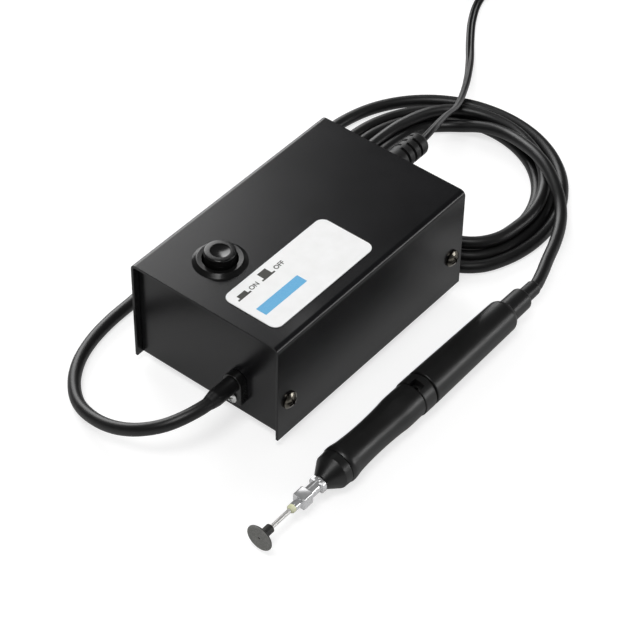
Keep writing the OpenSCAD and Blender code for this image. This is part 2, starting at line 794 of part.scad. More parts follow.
module cord_bushing() color(c_rubber) {
    r = relief_d / 2;
    first = relief_y - relief_nose - rib_pitch * (rib_count - 1) - rib_gap;
    along_y(relief_x, 0, relief_z) difference() {
        rotate_extrude() polygon(concat(
            [[0, relief_in_y], [relief_flange_d / 2, relief_in_y], [relief_flange_d / 2, inner_y],
            [relief_hole_d / 2 - fit, inner_y], [relief_hole_d / 2 - fit, panel_y], [r, panel_y]],
            [for (i = [0:rib_count - 1], q = [[0, 0], [rib_depth, 0], [rib_depth, rib_gap], [0, rib_gap]])
                [r - q[0], first + i * rib_pitch + q[1]]],
            arc([r - relief_nose, relief_y - relief_nose], relief_nose, 0, 90, 8),
            [[0, relief_y]]));
        translate([0, 0, relief_in_y - cut])
            cylinder(d = cord_w + 2 * hole_fit, h = relief_y - relief_in_y + 2 * cut);
    }
}

module pump_base() color(c_steel) difference() {
    union() {
        translate([base_x0, base_y0, base_z]) cube([base_x1 - base_x0, base_y1 - base_y0, base_t]);
        for (x = [-1, 1]) translate([pump_x + x * (arm_w / 2 + ear_gap + ear_t / 2), hinge_y, 0]) {
            translate([-ear_t / 2, -ear_l / 2, base_z]) cube([ear_t, ear_l, hinge_z - base_z]);
            along_x(-ear_t / 2, 0, hinge_z) cylinder(d = ear_l, h = ear_t);
        }
    }
    for (p = grommet_pos) translate([p[0], p[1], base_z - cut])
        cylinder(d = grommet_neck_d, h = base_t + 2 * cut);
    along_x(pump_x - arm_w, hinge_y, hinge_z) cylinder(d = pin_d + fit, h = 2 * arm_w);
    for (x = [-1, 1]) translate([pump_x + x * core_screw_dx, core_y1 - yoke_t / 2, base_z - cut])
        cylinder(d = core_screw_d + 2 * fit, h = base_t + 2 * cut);
}

module pump_grommets() color(c_rubber) for (p = grommet_pos) translate([p[0], p[1], 0])
    rotate_extrude() polygon([
    [pump_screw_d / 2 + hole_fit, deck_z], [grommet_d / 2, deck_z], [grommet_d / 2, base_z],
    [grommet_neck_d / 2 - fit, base_z], [grommet_neck_d / 2 - fit, base_top], [grommet_d / 2, base_top],
    [grommet_d / 2, grommet_top], [pump_screw_d / 2 + hole_fit, grommet_top]
]);

module pump_screws() color(c_steel) for (p = grommet_pos) translate([p[0], p[1], grommet_top])
    pan_screw(pump_head_d, pump_head_h, pump_screw_d, grommet_top - foot_h);

module magnet_core() color(c_steel) difference() {
    translate([pump_x - core_stack / 2, core_y0, base_top]) cube([core_stack, core_leg + yoke_t, core_h]);
    for (z = [-1, 1])
        translate([pump_x, core_y0 + core_leg / 2 - cut, core_mid + z * (mid_leg_h + slot_h()) / 2])
        cube([core_stack + 2 * cut, core_leg + 2 * cut, slot_h()], center = true);
    for (x = [-1, 1]) translate([pump_x + x * core_screw_dx, core_y1 - yoke_t / 2, base_top - cut])
        cylinder(d = core_screw_d + 2 * fit, h = core_h + 2 * cut);
}

// height of each slot of the magnet core
function slot_h() = (core_h - mid_leg_h) / 2 - leg_h;

module core_screws() color(c_steel) for (x = [-1, 1])
    translate([pump_x + x * core_screw_dx, core_y1 - yoke_t / 2, base_top + core_h])
        pan_screw(core_screw_head_d, core_screw_head_h, core_screw_d, core_h + base_t);

// flat rectangle around the core's middle leg, laid across Y
module leg_rect(w, h) square([w, h], center = true);

module coil_bobbin() color(c_white) translate([pump_x, 0, core_mid]) {
    flange_w = tube_w + 2 * winding_t;
    flange_hh = min(tube_h + 2 * winding_t, mid_leg_h + 2 * slot_h() - coil_air);
    for (p = [[bobbin_y0, bobbin_wall, flange_w, flange_hh],
        [bobbin_y1 - bobbin_wall, bobbin_wall, flange_w, flange_hh],
        [bobbin_y0, bobbin_y1 - bobbin_y0, tube_w, tube_h]])
        translate([0, p[0] + p[1], 0]) rotate([90, 0, 0]) linear_extrude(p[1]) difference() {
            leg_rect(p[2], p[3]);
            leg_rect(bobbin_in_w, bobbin_in_h);
        }
}

module coil_winding() color(c_copper)
    translate([pump_x, bobbin_y1 - bobbin_wall, core_mid]) rotate([90, 0, 0])
        linear_extrude(bobbin_y1 - bobbin_y0 - 2 * bobbin_wall) difference() {
            round_rect(tube_w + 2 * winding_t,
                min(tube_h + 2 * winding_t, mid_leg_h + 2 * slot_h() - 2 * coil_air), 1);
            leg_rect(tube_w, tube_h);
        }

module armature_pin() color(c_chrome) {
    half = arm_w / 2 + ear_gap + ear_t;
    along_x(pump_x - half, hinge_y, hinge_z) cylinder(d = pin_d, h = 2 * half);
    along_x(pump_x + half, hinge_y, hinge_z) cylinder(d = pin_d + 1.4, h = 1);
}

module armature_arm() color(c_steel) difference() {
    union() {
        along_x(pump_x - arm_w / 2, hinge_y, hinge_z) cylinder(d = eye_d, h = arm_w);
        translate([pump_x - arm_w / 2, hinge_y, hinge_z - arm_t / 2])
            cube([arm_w, arm_end_y - hinge_y, arm_t]);
        translate([pump_x - magnet_s / 2, arm_end_y, hinge_z - magnet_s / 2])
            cube([magnet_s, plate_t, magnet_s]);
    }
    along_x(pump_x - arm_w, hinge_y, hinge_z) cylinder(d = pin_d + 2 * fit, h = 2 * arm_w);
    translate([pump_x, dome_y, hinge_z - arm_t]) cylinder(d = stud_d, h = 2 * arm_t);
}

module armature_magnet() color(c_paint)
    translate([pump_x - magnet_s / 2, arm_end_y + plate_t, hinge_z - magnet_s / 2])
        cube([magnet_s, magnet_t, magnet_s]);

module diaphragm() color(c_rubber) translate([pump_x, dome_y, 0]) {
    difference() {
        translate([-chamber_s / 2, -chamber_s / 2, chamber_top]) cube([chamber_s, chamber_s, diaphragm_t]);
        translate([0, 0, chamber_top - cut]) cylinder(d = dome_d - 2, h = diaphragm_t + 2 * cut);
        for (x = [-1, 1], y = [-1, 1]) translate([x * clamp_in, y * clamp_in, chamber_top - cut])
            cylinder(d = small_screw_d + 2 * hole_fit, h = diaphragm_t + 2 * cut);
    }
    rotate_extrude() polygon([
        [dome_d / 2 - 1, chamber_top], [dome_d / 2, chamber_top + diaphragm_t],
        [dome_mid_d / 2, dome_z + diaphragm_t],
        [stud_d / 2, dome_z + diaphragm_t], [stud_d / 2, dome_z], [dome_mid_d / 2 - 0.6, dome_z]
    ]);
}

module diaphragm_stud() color(c_chrome) translate([pump_x, dome_y, 0]) {
    translate([0, 0, dome_z - stud_head_t]) cylinder(d = stud_head_d, h = stud_head_t);
    translate([0, 0, dome_z - stud_head_t])
        cylinder(d = stud_d, h = hinge_z + arm_t / 2 - dome_z + stud_head_t);
    translate([0, 0, dome_z + diaphragm_t]) cylinder(d = stud_head_d, h = stud_head_t);
}

module clamp_plate() color(c_steel) translate([pump_x, dome_y, clamp_z]) difference() {
    translate([-chamber_s / 2, -chamber_s / 2, 0]) cube([chamber_s, chamber_s, clamp_t]);
    translate([0, 0, -cut]) cylinder(d = dome_d + 0.8, h = clamp_t + 2 * cut);
    for (x = [-1, 1], y = [-1, 1]) translate([x * clamp_in, y * clamp_in, -cut])
        cylinder(d = small_screw_d + 2 * hole_fit, h = clamp_t + 2 * cut);
}

module clamp_screws() color(c_steel) translate([pump_x, dome_y, clamp_z + clamp_t])
    for (x = [-1, 1], y = [-1, 1]) translate([x * clamp_in, y * clamp_in, 0])
        pan_screw(small_head_d, small_head_h, small_screw_d, clamp_t + diaphragm_t + clamp_screw_in);

// places of the four screws of the chamber cover, drawn along +X from the manifold's side face
module at_chamber_screws(x) for (y = [screw_edge, chamber_s - screw_edge],
    z = [screw_edge, manifold_top - base_top - screw_edge])
    along_x(x, chamber_y0 + y, base_top + z) children();

module pump_chamber() color(c_white) difference() {
    union() {
        translate([chamber_x0, chamber_y0, base_top]) cube([manifold_x1 - chamber_x0, chamber_s, chamber_h]);
        translate([manifold_x0, chamber_y0, base_top])
            cube([manifold_x1 - manifold_x0, chamber_s, manifold_top - base_top]);
        along_y(outlet_x, chamber_y0 - nipple2_l, outlet_z) cylinder(d = nipple_d, h = nipple2_l + cut);
    }
    translate([pump_x, dome_y, chamber_top - well_depth]) cylinder(d = dome_d - 2, h = well_depth + cut);
    for (y = flap_y) {
        along_x(pump_x, y, passage_z) cylinder(d = passage_d, h = (pocket_x + manifold_x1) / 2 - pump_x);
        translate([(pocket_x + manifold_x1) / 2, y, passage_z])
            cylinder(d = passage_d, h = outlet_z - passage_z);
        along_x(pocket_x, y, outlet_z) cylinder(d = pocket_d, h = manifold_x1 - pocket_x + cut);
        along_x(outlet_x, y, outlet_z) cylinder(d = passage_d, h = pocket_x - outlet_x + cut);
    }
    along_y(outlet_x, chamber_y0 - nipple2_l - cut, outlet_z)
        cylinder(d = nipple_bore, h = flap_y[0] - chamber_y0 + nipple2_l + cut);
    along_y(outlet_x, flap_y[1], outlet_z) cylinder(d = nipple_bore, h = chamber_y1 - flap_y[1] + cut);
    for (x = [-1, 1], y = [-1, 1])
        translate([pump_x + x * clamp_in, dome_y + y * clamp_in, chamber_top - clamp_screw_in])
        cylinder(d = small_screw_d + 2 * fit, h = clamp_screw_in + cut);
    at_chamber_screws(manifold_x1 - chamber_screw_in)
        cylinder(d = small_screw_d + 2 * fit, h = chamber_screw_in + cut);
}

module valve_flaps() color(c_rubber) for (y = flap_y)
    along_x(pocket_x + 0.1, y, outlet_z) cylinder(d = flap_d, h = flap_t);

module chamber_cover() color(c_white) difference() {
    translate([manifold_x1, chamber_y0, base_top]) cube([cover_plate_t, chamber_s, manifold_top - base_top]);
    at_chamber_screws(manifold_x1 - cut)
        cylinder(d = small_screw_d + 2 * hole_fit, h = cover_plate_t + 2 * cut);
}

module chamber_screws() color(c_steel) at_chamber_screws(manifold_x1 + cover_plate_t)
    pan_screw(small_head_d, small_head_h, small_screw_d, cover_plate_t + chamber_screw_in);

module suction_tube() color(c_rubber) along_y(outlet_x, 0, outlet_z)
    pipe(tube_od, hose_id, nipple_in_y - 6, chamber_y0 - 0.5);

module supply_wires() color(c_black) {
    swept(live_route, wire_d / 2, wire_d / 2);
    swept(neutral_route, wire_d / 2, wire_d / 2);
}

module switch_wire() color(c_white) swept(switch_route, wire_d / 2, wire_d / 2);

module suction_pad() color(c_rubber) in_pen() rotate_extrude() polygon([
    [pad_hole / 2, 0], [pad_d / 2, 0], [pad_d / 2, pad_t], [boss_d / 2 + pad_fillet, pad_t + pad_fillet / 2],
    [boss_d / 2, pad_t + 1.5 * pad_fillet], [boss_d / 2, boss_l], [needle_d / 2 + fit / 2, boss_l],
    [needle_d / 2 + fit / 2, pad_t + pad_web], [pad_hole / 2, pad_t + pad_web]
]);

module needle_tube() color(c_chrome) in_pen()
    pipe(needle_d, needle_bore, pad_t + pad_web + fit, s_neck + needle_seat);

module needle_bead() color([0.75, 0.78, 0.3]) in_pen() rotate_extrude() polygon(concat(
    [[needle_d / 2 + fit / 2, s_bead], [bead_d / 2 - 0.5, s_bead]],
    [[bead_d / 2, s_bead + 0.4], [bead_d / 2, s_neck - 0.3], [bead_d / 2 - 0.3, s_neck]],
    [[needle_d / 2 + fit / 2, s_neck]]));

module needle_hub() color(c_chrome) in_pen() difference() {
    union() {
        translate([0, 0, s_neck]) cylinder(d = neck_d, h = neck_l + cut);
        translate([0, 0, s_hub]) linear_extrude(hub_l) round_rect(hub_w, hub_w, 0.7);
        translate([0, 0, s_waist - cut]) cylinder(d = waist_d, h = waist_l + 2 * cut);
        translate([0, 0, s_flange]) cylinder(d = hub_flange_d, h = hub_flange_l);
    }
    translate([0, 0, s_neck - cut]) cylinder(d = needle_d + fit, h = needle_seat + 2 * cut);
    translate([0, 0, s_neck + needle_seat])
        cylinder(d = taper_d0 + fit, h = s_hub_end - s_neck - needle_seat - taper_l);
    translate([0, 0, s_hub_end - taper_l])
        cylinder(d1 = taper_d0 + 2 * fit, d2 = taper_d1 + 2 * fit, h = taper_l);
}

module nose_cone() color(c_black) in_pen() difference() {
    union() {
        translate([0, 0, s_hub_end - taper_l + tip_gap])
            cylinder(d1 = taper_d0, d2 = taper_d1, h = taper_l - tip_gap);
        translate([0, 0, s_hub_end]) cylinder(d = taper_d1, h = nose_gap + cut);
        translate([0, 0, s_nose]) cylinder(d1 = nose_tip_d, d2 = nose_d, h = nose_l);
        translate([0, 0, s_land]) cylinder(d = nose_d + 0.2, h = land_l);
        translate([0, 0, s_grip]) difference() {
            cylinder(d = spigot_d, h = spigot_l);
            pipe(spigot_d + 2 * cut, spigot_d - 2 * seal_groove,
                seal_s - s_grip - seal_d / 2, seal_s - s_grip + seal_d / 2);
        }
    }
    translate([0, 0, s_hub_end - taper_l - cut])
        cylinder(d = nose_bore, h = s_grip + spigot_l - s_hub_end + taper_l + 2 * cut);
}

module nose_seal() color(c_rubber) in_pen() translate([0, 0, seal_s])
    rotate_extrude() translate([spigot_d / 2 - seal_groove + seal_d / 2, 0])
        circle(d = seal_d - fit, $fn = 24);

module pen_core() color(c_black) in_pen() difference() {
    pipe(core_d, air_bore, core_s0, core_s0 + core_l);
    rotate([0, 0, -window_turn]) along_x(0, 0, s_collar + window_l / 2) cylinder(d = bleed_d, h = core_d);
}

module grip() color(c_black) in_pen() difference() {
    rotate_extrude() polygon(concat(
        [[0, s_grip]], [for (q = smooth(grip_shape, 5)) [q[1], s_grip + q[0]]], [[0, s_collar]]));
    translate([0, 0, s_grip - cut]) cylinder(d = seal_bore, h = spigot_l + cut);
    translate([0, 0, s_grip]) cylinder(d = core_d + 2 * fit, h = grip_l + cut);
}

module vent_collar() color(c_black) in_pen() difference() {
    pipe(collar_d, core_d + 2 * fit, s_collar, s_barrel);
    rotate([0, 0, -window_turn]) translate([core_d / 2, -window_w / 2, s_collar - cut])
        cube([collar_d, window_w, window_l + cut]);
}

module barrel() color(c_black) in_pen() difference() {
    r0 = barrel_end_d / 2 - barrel_round;
    rotate_extrude() polygon(concat(
        [[0, s_barrel], [groove_d / 2, s_barrel], [groove_d / 2, s_barrel + groove_w],
        [barrel_d / 2, s_barrel + groove_w]],
        arc([r0, s_tail - barrel_round], barrel_round, 0, 90, 10), [[0, s_tail]]));
    translate([0, 0, s_barrel - cut]) cylinder(d = core_d + 2 * fit, h = core_s0 + core_l - s_barrel + cut);
    translate([0, 0, s_barrel]) cylinder(d = plug_spigot_d + 2 * fit, h = barrel_l + cut);
}

module tail_plug() color(c_black) in_pen() difference() {
    rotate_extrude() polygon(concat(
        [[0, s_tail - plug_spigot_l], [plug_spigot_d / 2, s_tail - plug_spigot_l],
        [plug_spigot_d / 2, s_tail],
        [tail_d / 2, s_tail]],
        arc([tail_d / 2 - tail_round, s_sleeve - tail_round], tail_round, 0, 90, 8), [[0, s_sleeve]]));
    translate([0, 0, s_tail - plug_spigot_l - cut]) cylinder(d = air_bore, h = plug_spigot_l + tail_l);
    translate([0, 0, s_sleeve - tail_nipple_in])
        cylinder(d = tail_nipple_d + 2 * fit, h = tail_nipple_in + cut);
}

module tail_nipple() color(c_steel) in_pen()
    pipe(tail_nipple_d, tail_nipple_bore, s_sleeve - tail_nipple_in, hose_end_s);

module tail_sleeve() color(c_black) in_pen() {
    pipe(tail_sleeve_d, tail_nipple_d + 2 * fit, s_sleeve, hose_end_s);
    pipe(tail_sleeve_d, hose_d + 2 * fit, hose_end_s, s_end);
}

module hose_front() color(c_black) swept(front_route, hose_d / 2, hose_d / 2, 10);

// outline of the coil, a circle flattened behind the case, moved in by inset
module coil_outline(inset) {
    r = coil_r - inset;
    corner = coil_corner - inset / 2;
    y = coil_front + inset + corner - coil_y;
    x = sqrt((r - corner) * (r - corner) - y * y);
    hull() {
        for (k = [-1, 1]) translate([k * x, y]) circle(corner, $fn = 40);
        intersection() {
            circle(r, $fn = 72);
            translate([-coil_r, y * r / (r - corner)]) square(2 * coil_r);
        }
    }
}

module hose_coil() color(c_black) translate([coil_x, coil_y, 0]) linear_extrude(hose_d) difference() {
    coil_outline(0);
    translate([hole_shift, 0]) coil_outline(coil_w);
}

module hose_lead() color(c_black) swept(lead_route, hose_d / 2, hose_d / 2, 10);

module cord_lead() color(c_black) swept(cord_route, cord_w / 2, cord_t / 2);

module cord_coil() color(c_black) translate([bundle_x, bundle_y, bundle_z])
    rotate_extrude() translate([bundle_r, 0]) circle(d = bundle_d);

module cord_tie() color(c_rubber) translate([bundle_x, bundle_y - bundle_r, bundle_z]) rotate([0, 90, 0])
    pipe(bundle_d + 2 * tie_t, bundle_d + 0.6, -tie_w / 2, tie_w / 2);

module cord_tail() color(c_black) swept(tail_route, cord_w / 2, cord_t / 2);

module plug_body() color(c_black) translate([plug_x, plug_y, plug_z + plug_h / 2]) rotate([0, -90, 0]) {
    linear_extrude(plug_l) round_rect(plug_h, plug_w, 3);
    translate([0, 0, -plug_nose]) cylinder(d = plug_nose_d, h = plug_nose + cut);
}

module plug_blades() color(c_chrome) for (y = [-1, 1])
    translate([plug_x - plug_l - blade_l / 2, plug_y + y * blade_gap / 2, plug_z + plug_h / 2])
        cube([blade_l, blade_t, blade_w], center = true);

cover();
chassis();
cover_screws();
feet();
label_plate();
switch_bezel();
switch_nut();
switch_body();
switch_terminals();
switch_spring();
switch_button();
outlet_block();
outlet_screw();
outlet_nipple();
outlet_sleeve();
cord_bushing();
pump_base();
pump_grommets();
pump_screws();
magnet_core();
core_screws();
coil_bobbin();
coil_winding();
armature_pin();
armature_arm();
armature_magnet();
diaphragm();
diaphragm_stud();
clamp_plate();
clamp_screws();
pump_chamber();
valve_flaps();
chamber_cover();
chamber_screws();
suction_tube();
supply_wires();
switch_wire();
suction_pad();
needle_tube();
needle_bead();
needle_hub();
nose_cone();
nose_seal();
pen_core();
grip();
vent_collar();
barrel();
tail_plug();
tail_nipple();
tail_sleeve();
hose_front();
hose_coil();
hose_lead();
cord_lead();
cord_coil();
cord_tie();
cord_tail();
plug_body();
plug_blades();
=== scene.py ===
# %% [markdown]
# # Dressing a vacuum pick-up pen
# A bench tool in three parts: a small black steel case with a vibrating pump inside, a pen with a suction
# pad, and the hose between them. The solids are already built. This lesson gives them their
# looks: smooth turned and folded pieces, soft cords, and finishes made of shader nodes. All lengths are
# in millimetres and are turned into metres where Blender needs them.

# %% The built part as a fixed frame
import math

import bmesh
import bpy
import numpy as np
from mathutils import Matrix, Vector


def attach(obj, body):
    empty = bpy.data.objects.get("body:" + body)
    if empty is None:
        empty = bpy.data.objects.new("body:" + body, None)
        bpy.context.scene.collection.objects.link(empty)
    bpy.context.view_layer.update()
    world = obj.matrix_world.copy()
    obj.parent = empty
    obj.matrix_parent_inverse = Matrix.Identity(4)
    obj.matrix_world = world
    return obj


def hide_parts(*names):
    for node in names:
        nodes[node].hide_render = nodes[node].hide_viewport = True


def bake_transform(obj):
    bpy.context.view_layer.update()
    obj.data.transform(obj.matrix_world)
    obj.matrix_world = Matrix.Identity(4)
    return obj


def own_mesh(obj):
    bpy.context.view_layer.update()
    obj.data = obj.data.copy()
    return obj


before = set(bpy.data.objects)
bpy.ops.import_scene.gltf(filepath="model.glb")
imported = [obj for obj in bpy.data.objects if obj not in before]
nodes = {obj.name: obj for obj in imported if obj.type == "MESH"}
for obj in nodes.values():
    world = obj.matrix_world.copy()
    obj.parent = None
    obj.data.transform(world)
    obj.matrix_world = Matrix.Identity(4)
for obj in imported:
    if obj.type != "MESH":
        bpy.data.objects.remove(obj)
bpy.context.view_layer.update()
MM = 0.001

# %% [markdown]
# ## The camera
# A product photograph is taken from far off with a long lens, so that a box stays nearly square. The
# viewing angle was worked out from the edges of the case. A camera could be aimed with a constraint, but
# a fixed direction with a small roll repeats the photograph exactly.

# %% A long lens, a little to the right and halfway up
AZIMUTH, ELEVATION, ROLL = (math.radians(a) for a in (38.3, 44.35, 1.09))
AIM = Vector((13.6, -6.6, 15.1)) * MM
DISTANCE = 760 * MM
flat = math.cos(ELEVATION)
backward = Vector((math.sin(AZIMUTH) * flat, -math.cos(AZIMUTH) * flat, math.sin(ELEVATION)))
rightward = Vector((math.cos(AZIMUTH), math.sin(AZIMUTH), 0))
upward = backward.cross(rightward)
stance = Matrix((rightward, upward, backward)).transposed() @ Matrix.Rotation(ROLL, 3, "Z")
bpy.ops.object.camera_add(location=AIM + backward * DISTANCE, rotation=stance.to_euler())
camera = bpy.context.object
camera.data.sensor_fit = "HORIZONTAL"
camera.data.sensor_width = 36
camera.data.lens = 132.75
camera.data.clip_start = 0.01
camera.data.clip_end = 20
bpy.context.scene.camera = camera
print("camera at", [round(v, 3) for v in camera.location])

# %% [markdown]
# ## Shader maths as plain arithmetic
# Real finishes are never one flat colour. Their grain is worked out by nodes, and wiring nodes by hand is
# hard to read. A small class that wraps a socket lets `1 - mask * 0.3` build the Math nodes by itself,
# and one method adds every other kind of node.


# %% A socket that can be added, subtracted and multiplied
class Amount:
    """One output of a finish's nodes, for use in plain arithmetic."""

    def __init__(self, finish, socket):
        self.finish = finish
        self.socket = socket

    def maths(self, operation, first, second):
        return self.finish.node("ShaderNodeMath", {"operation": operation}, {0: first, 1: second})

    def __add__(self, other):
        return self.maths("ADD", self, other)

    def __sub__(self, other):
        return self.maths("SUBTRACT", self, other)

    def __rsub__(self, other):
        return self.maths("SUBTRACT", other, self)

    def __mul__(self, other):
        return self.maths("MULTIPLY", self, other)

    __radd__ = __add__
    __rmul__ = __mul__


# %% Any other node, by its type, settings and sockets
class Nodes:
    """The nodes of a material or of the world."""

    def __init__(self, owner):
        owner.use_nodes = True
        self.tree = owner.node_tree

    def node(self, kind, settings, sockets, output=0):
        made = self.tree.nodes.new(kind)
        for key, value in settings.items():
            if key == "stops":
                ramp = made.color_ramp.elements
                while len(ramp) < len(value):
                    ramp.new(1)
                for stop, (position, colour) in zip(ramp, value):
                    stop.position = position
                    stop.color = (*colour, 1)
            else:
                setattr(made, key, value)
        for key, value in sockets.items():
            self.feed(made.inputs[key], value)
        return Amount(self, made.outputs[output])

    def feed(self, socket, value):
        if isinstance(value, Amount):
            self.tree.links.new(value.socket, socket)
        else:
            socket.default_value = value


# %% A finish: one material with its grain
class Finish(Nodes):
    """A material whose even values are set on the shader and whose grain is linked to it."""

    def __init__(self, name, **even):
        self.material = bpy.data.materials.new(name)
        super().__init__(self.material)
        self.shader = self.tree.nodes["Principled BSDF"]
        for socket, value in even.items():
            self.shader.inputs[socket.replace("_", " ")].default_value = value
        self.place = self.node("ShaderNodeTexCoord", {}, {}, "Object")

    def noise(self, scale, detail=3, stretch=(1, 1, 1)):
        spread = self.node("ShaderNodeMapping", {}, {"Vector": self.place, "Scale": stretch})
        return self.node("ShaderNodeTexNoise", {}, {"Vector": spread, "Scale": scale, "Detail": detail})

    def ramp(self, mask, low, high, start=0.3, end=0.7):
        return self.node("ShaderNodeValToRGB", {"stops": [(start, low), (end, high)]}, {"Fac": mask})

    def mix(self, mask, first, second):
        return self.node("ShaderNodeMix", {"data_type": "RGBA"}, {0: mask, 6: first, 7: second}, 2)

    def tint(self, mask, low, high, start=0.3, end=0.7):
        self.set("Base Color", self.ramp(mask, low, high, start, end))

    def bump(self, height, strength, depth):
        sockets = {"Height": height, "Strength": strength, "Distance": depth * MM}
        self.set("Normal", self.node("ShaderNodeBump", {}, sockets, "Normal"))

    def set(self, socket, value):
        self.feed(self.shader.inputs[socket], value)


# %% [markdown]
# ## Black rubber and vinyl
# The hose is satin black rubber tube, the power cord a flat twin lead in black vinyl. Both are dark,
# slightly cloudy and never quite even in gloss, because they are handled. A low noise makes the clouds
# and a fine one makes the skin.


# %% Hose rubber and cord vinyl
def rubbery(name, dark, pale, gloss, skin, ior=1.5):
    """Satin rubber: cloudy colour, uneven gloss and a fine skin."""
    finish = Finish(name, IOR=ior)
    clouds = finish.noise(90, 5)
    grain = finish.noise(2600, 2)
    finish.tint(clouds, [dark] * 3, [pale, pale, pale * 1.06])
    finish.set("Roughness", gloss + clouds * 0.12 + grain * 0.05)
    finish.bump(grain, skin, 0.06)
    return finish.material


hose_rubber = rubbery("hose_rubber", 0.004, 0.0065, 0.33, 0.1)
cord_vinyl = rubbery("cord_vinyl", 0.005, 0.008, 0.26, 0.06, 1.38)
relief_rubber = rubbery("relief_rubber", 0.006, 0.01, 0.4, 0.2)
foot_rubber = rubbery("foot_rubber", 0.014, 0.02, 0.55, 0.25)
print("rubbers:", hose_rubber.name, cord_vinyl.name, relief_rubber.name, foot_rubber.name)

# %% [markdown]
# ## The hose
# The hose leaves the front of the case, loops round its left side, lies in four turns on the table behind
# it and climbs over its own turns to the tail of the pen. A soft-body simulation could lay it, but a
# route through listed points is sure to lie where the photograph shows it. Three turns lie side by
# side, and the fourth climbs into the groove on top of them. Their fronts are flattened by the back of
# the case.


# %% A smooth route through listed points
def through(points, step):
    """Points an even step apart on one smooth curve through the given points."""
    p = np.array(points, float)
    span = np.linalg.norm(np.diff(p, axis=0), axis=1)[:, None]
    slope = np.diff(p, axis=0) / span
    inner = (slope[1:] * span[:-1] + slope[:-1] * span[1:]) / (span[1:] + span[:-1])
    run = np.vstack([slope[:1], inner, slope[-1:]])
    dense = []
    for t in np.linspace(0, 1, 24, endpoint=False):
        start = p[:-1] * (2 * t**3 - 3 * t**2 + 1) + run[:-1] * span * (t**3 - 2 * t**2 + t)
        end = p[1:] * (3 * t**2 - 2 * t**3) + run[1:] * span * (t**3 - t**2)
        dense.append(start + end)
    dense = np.vstack([np.stack(dense, 1).reshape(-1, p.shape[1]), p[-1:]])
    gone = np.concatenate([[0], np.cumsum(np.linalg.norm(np.diff(dense, axis=0), axis=1))])
    even = np.linspace(0, gone[-1], max(2, round(gone[-1] / step)) + 1)
    return np.column_stack([np.interp(even, gone, column) for column in dense.T])


def length_of(points):
    return float(np.linalg.norm(np.diff(points, axis=0), axis=1).sum())


# %% The route of the hose
FLOOR_Z = 2.2
COIL_X, COIL_Y = -8.1, 82.6
front_loop = [
    (11.7, -53, 17.1), (11.7, -59, 17.1), (10.2, -65.5, 16.6), (6, -72.5, 14.6), (-0.5, -77, 11.8),
    (-9, -79.2, 8.6), (-18.5, -79, 6), (-28, -76.2, 4.2), (-36, -70, 3.1), (-42, -61.5, 2.5),
    (-45.8, -51, 2.2), (-47.3, -41, 2.2), (-47.7, -30, 2.2), (-48.2, -17, 2.2), (-48.8, -4, 2.2),
    (-49.4, 9, 2.2), (-50, 22, 2.2), (-50.7, 35, 2.2), (-51.5, 48, 2.2), (-52.4, 60, 2.2), (-53, 72, 2.2),
]


def round_coil(*places):
    """Points (angle, radius, height) about the middle of the coil."""
    return [(COIL_X + r * math.cos(math.radians(a)), COIL_Y + r * math.sin(math.radians(a)), z)
            for a, r, z in places]


def round_turn(left, back, right, start, end, count=12):
    """The round part of one turn on the table, from its left side over the back to its right side."""
    turn = []
    for angle in np.linspace(start, end, count):
        swing = min(1, (180 - angle) / 90)
        radius = left + (back - left) * swing * swing * (3 - 2 * swing)
        if angle < 90:
            radius = back + (right - back) * min(1, (90 - angle) / 60)
        turn.append((angle, radius, FLOOR_Z))
    return round_coil(*turn)


def flat_front(*places):
    return [(x, y, FLOOR_Z) for x, y in places]


# %% Three turns side by side
hose_points = front_loop + round_turn(45.0, 45.6, 45.9, 172, -8) + flat_front(
    (35.2, 67.2), (31, 59), (24.5, 53.6), (15, 51.3), (3, 51.2), (-10, 51.2), (-22, 51.6), (-31, 54.2),
    (-37.3, 59.6), (-41.9, 67), (-44.3, 75.5))
hose_points += round_turn(36.7, 41.0, 41.5, 176, -8) + flat_front(
    (30.5, 67.8), (26.1, 61.3), (19.4, 57.3), (11, 55.8), (0, 55.6), (-12, 55.6), (-22, 56.4), (-29.8, 59.3),
    (-34.9, 64.8), (-38.6, 71.7), (-40.2, 79.5))
hose_points += round_turn(32.4, 36.3, 37.1, 172, -6) + flat_front(
    (27.1, 72.4), (22.9, 66.8), (17, 63.2), (10.2, 61.8), (1, 61.2), (-10, 60.8), (-19.5, 61.2))

# %% The fourth turn rolls over the third into the groove
hose_points += [(-26.5, 63.8, 2.2), (-32, 68.9, 2.2), (-35.2, 75.5, 2.3)]
hose_points += round_coil(
    (178, 28.1, 2.6), (166, 28.4, 3.3), (153, 29.5, 4.4), (140, 31.2, 5.5), (128, 33.4, 6.3),
    (115, 35.6, 6.67), (103, 37, 6.59), (90, 38, 6.31), (77, 38.6, 6.15), (64, 38.7, 6.15), (50, 39.2, 6.05),
    (36, 39.3, 6.05), (22, 39.3, 6.05), (8, 39.3, 6.05), (-6, 39.1, 6.05))
hose_points += [
    (29.3, 70.4, 6.05), (25.4, 64.2, 6.05), (19.2, 59.9, 6.05), (11, 58, 6.05), (3, 57.9, 6.1),
    (-5, 59.2, 6.6), (-11.8, 62, 6.2), (-17.9, 65.1, 4.6), (-22.6, 68.1, 3), (-26.4, 71.8, 2.3),
    (-29.3, 76.3, 2.2), (-31, 81.3, 2.2),
]

